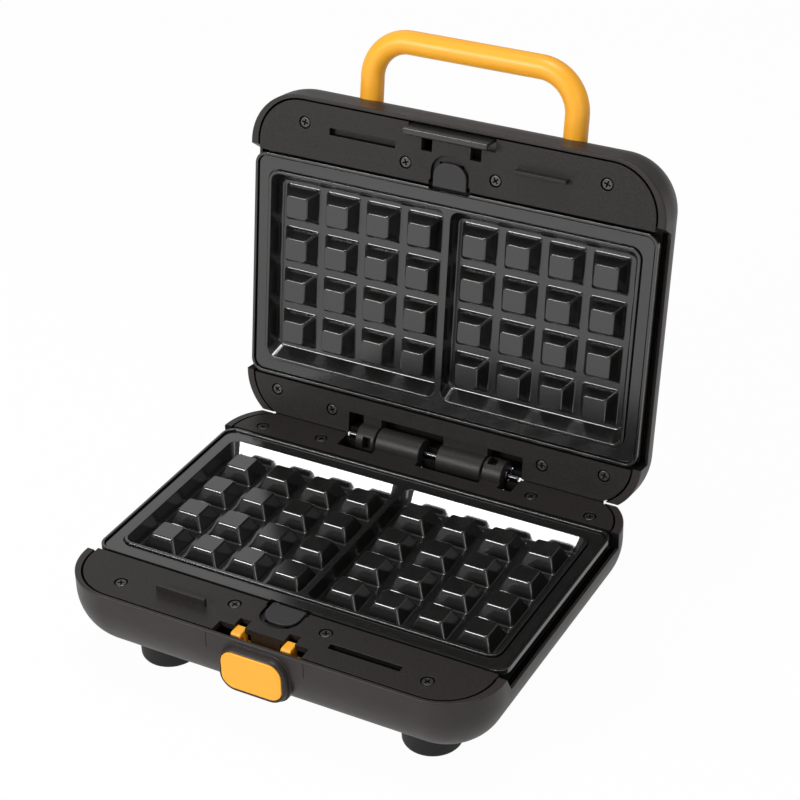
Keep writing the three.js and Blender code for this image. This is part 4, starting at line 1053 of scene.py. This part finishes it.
looks = Sizes(
    casing=surface(
        "shell_plastic", (0.0225, 0.0188, 0.0172), (0.029, 0.0245, 0.0225), 0.42, grain=(1500.0, 0.00004),
        edge=0.0002, specular=0.32,
    ),
    panel=surface(
        "frame_plastic", (0.011, 0.0095, 0.0088), (0.026, 0.0228, 0.021), 0.42, grain=(1500.0, 0.0001),
        mottle=900.0, edge=0.0001, specular=0.3,
    ),
    strike=surface(
        "strike_plastic", (0.018, 0.017, 0.0165), (0.024, 0.023, 0.022), 0.28, grain=(1500.0, 0.000004),
        mottle=40.0, edge=0.0001, specular=0.7,
    ),
    button=surface("button_plastic", (0.026, 0.024, 0.026), (0.031, 0.029, 0.031), 0.5, specular=0.4),
    non_stick=surface(
        "non_stick", (0.007, 0.0068, 0.0065), (0.011, 0.0105, 0.010), 0.15, grain=(1900.0, 0.000012),
        mottle=700.0, edge=0.0001, specular=0.95, wander=0.03,
    ),
    orange=surface(
        "orange_plastic", (0.93, 0.40, 0.018), (0.96, 0.43, 0.024), 0.40, grain=(1800.0, 0.00001), mottle=25.0
    ),
    dark_steel=surface(
        "dark_steel", (0.085, 0.083, 0.078), (0.13, 0.127, 0.12), 0.34, 0.9, (3000.0, 0.00001), 500.0, 0.00015
    ),
    pin_steel=surface(
        "pin_steel", (0.07, 0.07, 0.075), (0.11, 0.11, 0.115), 0.26, 1.0, (1500.0, 0.000005), 300.0, 0.0001
    ),
    bright_steel=surface(
        "bright_steel", (0.55, 0.55, 0.56), (0.66, 0.66, 0.67), 0.22, 1.0, (1500.0, 0.000005), 300.0, 0.0001
    ),
    rubber=surface(
        "rubber", (0.006, 0.006, 0.006), (0.010, 0.010, 0.0095), 0.6, specular=0.35, grain=(1500.0, 0.00005),
        mottle=200.0,
    ),
    # Painted shade: a near-black material that stands in for the shade in gaps, slots, creases, recesses and
    # the hinge window.
    recess=surface(
        "painted_shade", (0.004, 0.004, 0.004), (0.008, 0.008, 0.008), 0.7, specular=0.1, mottle=500.0
    ),
    black=surface("black_plastic", (0.014, 0.014, 0.014), (0.02, 0.02, 0.02), 0.5),
    sheath=surface(
        "element_sheath", (0.16, 0.14, 0.12), (0.30, 0.26, 0.22), 0.45, 0.9, (1200.0, 0.00003), 120.0, 0.0002
    ),
    tray=surface(
        "reflector_sheet", (0.62, 0.62, 0.62), (0.74, 0.74, 0.74), 0.28, 1.0, (400.0, 0.00001), 30.0, 0.0002
    ),
    cream=surface("terminal_plastic", (0.66, 0.62, 0.52), (0.74, 0.70, 0.60), 0.5),
    red=lens("red_lens", (0.45, 0.02, 0.01)),
    green=lens("green_lens", (0.02, 0.30, 0.06)),
)


# Pieces.

def add_half(name, place, casing, extras):
    """What both halves have: shell, inner frame, plate, release button with its spring, and screws."""
    # Each row ends with the test for the faces that get painted shade.
    parts = (
        (casing, "casing", name, "shell", "shell_plastic", looks.casing, 32, in_shell_shadow),
        (inner_frame(extras), "frame_moulding", name, "inner_frame", "frame_plastic", looks.panel, 32,
         in_frame_shadow),
        (waffle_plate(), "plate_casting", f"{name}_plate", "waffle_plate", "nonstick_aluminium",
         looks.non_stick, 40, in_plate_shadow),
        (release_button(), "release_key", f"{name}_release", "release_button", "frame_plastic", looks.button,
         32, in_release_shadow),
    )
    for made, ending, body, node_ending, *rest in parts:
        piece(made, f"{name}_{ending}", place, body, [f"{name}_{node_ending}"], *rest)
    add_spring(
        f"{name}_release_coil", place, name, f"{name}_release_spring", release.spring, 0.0, release.spring_z,
        release.spring_y,
    )
    turns = random.Random(f"{name} screws")
    for i, (x, y) in enumerate(screw.places):
        turn = Matrix.Rotation(turns.uniform(0.0, math.pi / 2), 4, "Z")
        made = moved(screw_solid(), Matrix.Translation((x, y, -screw.sunk)) @ turn)
        # The cross in each screw head gets painted shade.
        piece(
            made, f"{name}_screw_{i + 1}", place, name, [f"{name}_frame_screw_{i + 1}"], "screw_steel",
            looks.dark_steel, painted_shade_test=lambda spot, normal: in_screw_slot_shadow(spot.x - x, spot.y - y, spot.z + screw.sunk),
        )


def add_base():
    steel = ("pin_steel", looks.pin_steel)
    orange = ("orange_plastic", looks.orange)
    add_half("base", BASE_PLACE, base_shell(), [both_sides(lid_stop)])
    for side, side_name in zip(SIDES, ("left", "right")):
        for y, end_name in zip(foot.ys, ("front", "rear")):
            name = f"{end_name}_{side_name}"
            made = moved(foot_solid(), Matrix.Translation((side * foot.x, y, 0)))
            piece(made, f"{name}_foot", BASE_PLACE, "base", [f"foot_{name}"], "foot_rubber", looks.rubber)
        add_spring(
            f"{side_name}_latch_coil", BASE_PLACE, "base", f"latch_spring_{side_name}", latch.spring,
            side * latch.spring_x, latch.spring_z, latch.spring_y[::-1],
        )
        clip = hinge_clip(side)
        piece(clip, f"{side_name}_clip", BASE_PLACE, "base", [f"hinge_clip_{side_name}"], *steel)
    pin = along_hinge(hinge.pin, -hinge.pin_half, hinge.pin_half, hinge.pin_ease, 32)
    piece(pin, "hinge_rod", BASE_PLACE, "base", ["hinge_pin"], *steel)
    piece(cord_gland(), "cord_bush", BASE_PLACE, "base", ["cord_gland"], "gland_plastic", looks.black)
    piece(hook_carriage(), "latch_hooks", BASE_PLACE, "latch", ["latch_hook_carriage"], *orange)
    piece(latch_button(), "latch_key", BASE_PLACE, "latch", ["latch_button"], *orange)


def add_lid():
    add_half("lid", LID_PLACE, lid_shell(), [])
    for made, name, node_name, slot, look in (
        (latch_strike(), "strike_bar", "latch_strike", "frame_plastic", looks.strike),
        (handle_loop(), "carry_handle", "handle", "orange_plastic", looks.orange),
        (pilot_lamp(-lamp.x), "power_lens", "power_lamp", "red_lens", looks.red),
        (pilot_lamp(lamp.x), "ready_lens", "ready_lamp", "green_lens", looks.green),
    ):
        piece(made, name, LID_PLACE, "lid", [node_name], slot, look)


def dress_hidden_nodes():
    wanted = {
        "heating_element": looks.sheath,
        "heat_reflector": looks.tray,
        "screw": looks.dark_steel,
        "thermostat": looks.bright_steel,
        "thermal_fuse": looks.bright_steel,
        "terminal_block": looks.cream,
    }
    for name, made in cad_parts.items():
        if made.hide_render:
            continue
        for part, look in wanted.items():
            if part in name:
                made.data.materials.clear()
                made.data.materials.append(look)


# Stage.

view = Sizes(
    lens=95.79,
    sensor=36.0,
    place=Vector((0.443057, -0.771756, 0.668054)),
    right=Vector((0.88079, 0.473027, -0.021297)),
    down=Vector((0.231098, -0.468698, -0.852594)),
    forward=Vector((-0.413282, 0.746035, -0.52214)),
    floor_half=4.0,
    glossy_share=0.58,
    glow_share=0.97,
    lit_middle=(0.0, 0.0, 0.1),
    world_strength=0.35,
)
WHITE = (1.0, 1.0, 1.0, 1.0)
LIGHTS = (
    ("key", (-0.62, -1.20, 0.76), (0.5, 0.32), 13.5),
    ("overhead", (0.0, -0.1, 1.5), (0.45, 0.3), 8.0),
    ("right", (1.3, -0.8, 0.55), (0.6, 0.8), 3.0),
    ("behind_left", (-1.0, 1.1, 0.85), (0.9, 0.8), 1.3),
)


def make_camera():
    data = bpy.data.cameras.new("view")
    data.lens = view.lens
    data.sensor_width = view.sensor
    camera = bpy.data.objects.new("view", data)
    turn = Matrix((view.right, -view.down, -view.forward)).transposed().to_4x4()
    camera.matrix_world = Matrix.Translation(view.place) @ turn
    bpy.context.scene.collection.objects.link(camera)
    bpy.context.scene.camera = camera


def arithmetic(tree, operation, a, b, use_clamp=False):
    made = node(tree, "ShaderNodeMath", {0: a, 1: b}, operation=operation, use_clamp=use_clamp)
    return made.outputs["Value"]


def make_floor():
    """A pale floor that the camera and, in part, glossy faces see as evenly lit."""
    half = view.floor_half
    corners = [(-half, -half, 0), (half, -half, 0), (half, half, 0), (-half, half, 0)]
    floor = new_object("floor", corners, [(0, 1, 2, 3)])
    material, tree, shader = blank("floor")
    wire(tree, shader, {"Base Color": (0.8, 0.8, 0.8, 1.0), "Roughness": 0.9, "Specular IOR Level": 0.1})
    glow = node(tree, "ShaderNodeEmission", {"Color": WHITE, "Strength": 1.0})
    path = tree.nodes.new("ShaderNodeLightPath").outputs
    glossy = arithmetic(tree, "MULTIPLY", path["Is Glossy Ray"], view.glossy_share)
    seen = arithmetic(tree, "ADD", path["Is Camera Ray"], glossy)
    seen = arithmetic(tree, "ADD", seen, path["Is Transmission Ray"], True)
    share = arithmetic(tree, "MULTIPLY", seen, view.glow_share)
    shaders = {1: shader.outputs["BSDF"], 2: glow.outputs["Emission"]}
    mix = node(tree, "ShaderNodeMixShader", {0: share, **shaders})
    wire(tree, tree.nodes["Material Output"], {"Surface": mix.outputs["Shader"]})
    floor.data.materials.append(material)


def area_light(name, place, size, watts):
    data = bpy.data.lights.new(name, "AREA")
    data.shape = "RECTANGLE"
    data.size, data.size_y = size
    data.energy = watts
    light = bpy.data.objects.new(name, data)
    direction = Vector(view.lit_middle) - Vector(place)
    turn = direction.to_track_quat("-Z", "Y").to_matrix().to_4x4()
    light.matrix_world = Matrix.Translation(place) @ turn
    bpy.context.scene.collection.objects.link(light)


def make_lights():
    for light in LIGHTS:
        area_light(*light)
    world = bpy.data.worlds.new("studio")
    world.use_nodes = True
    tree = world.node_tree
    lit = tree.nodes["Background"]
    wire(tree, lit, {"Color": WHITE, "Strength": view.world_strength})
    seen = node(tree, "ShaderNodeBackground", {"Color": WHITE, "Strength": 1.0})
    path = tree.nodes.new("ShaderNodeLightPath")
    mix = node(tree, "ShaderNodeMixShader", {
        0: path.outputs["Is Camera Ray"], 1: lit.outputs["Background"], 2: seen.outputs["Background"],
    })
    wire(tree, tree.nodes["World Output"], {"Surface": mix.outputs["Shader"]})
    bpy.context.scene.world = world


make_camera()
make_floor()
make_lights()
add_base()
add_lid()
dress_hidden_nodes()
bpy.context.scene.view_settings.view_transform = "Standard"
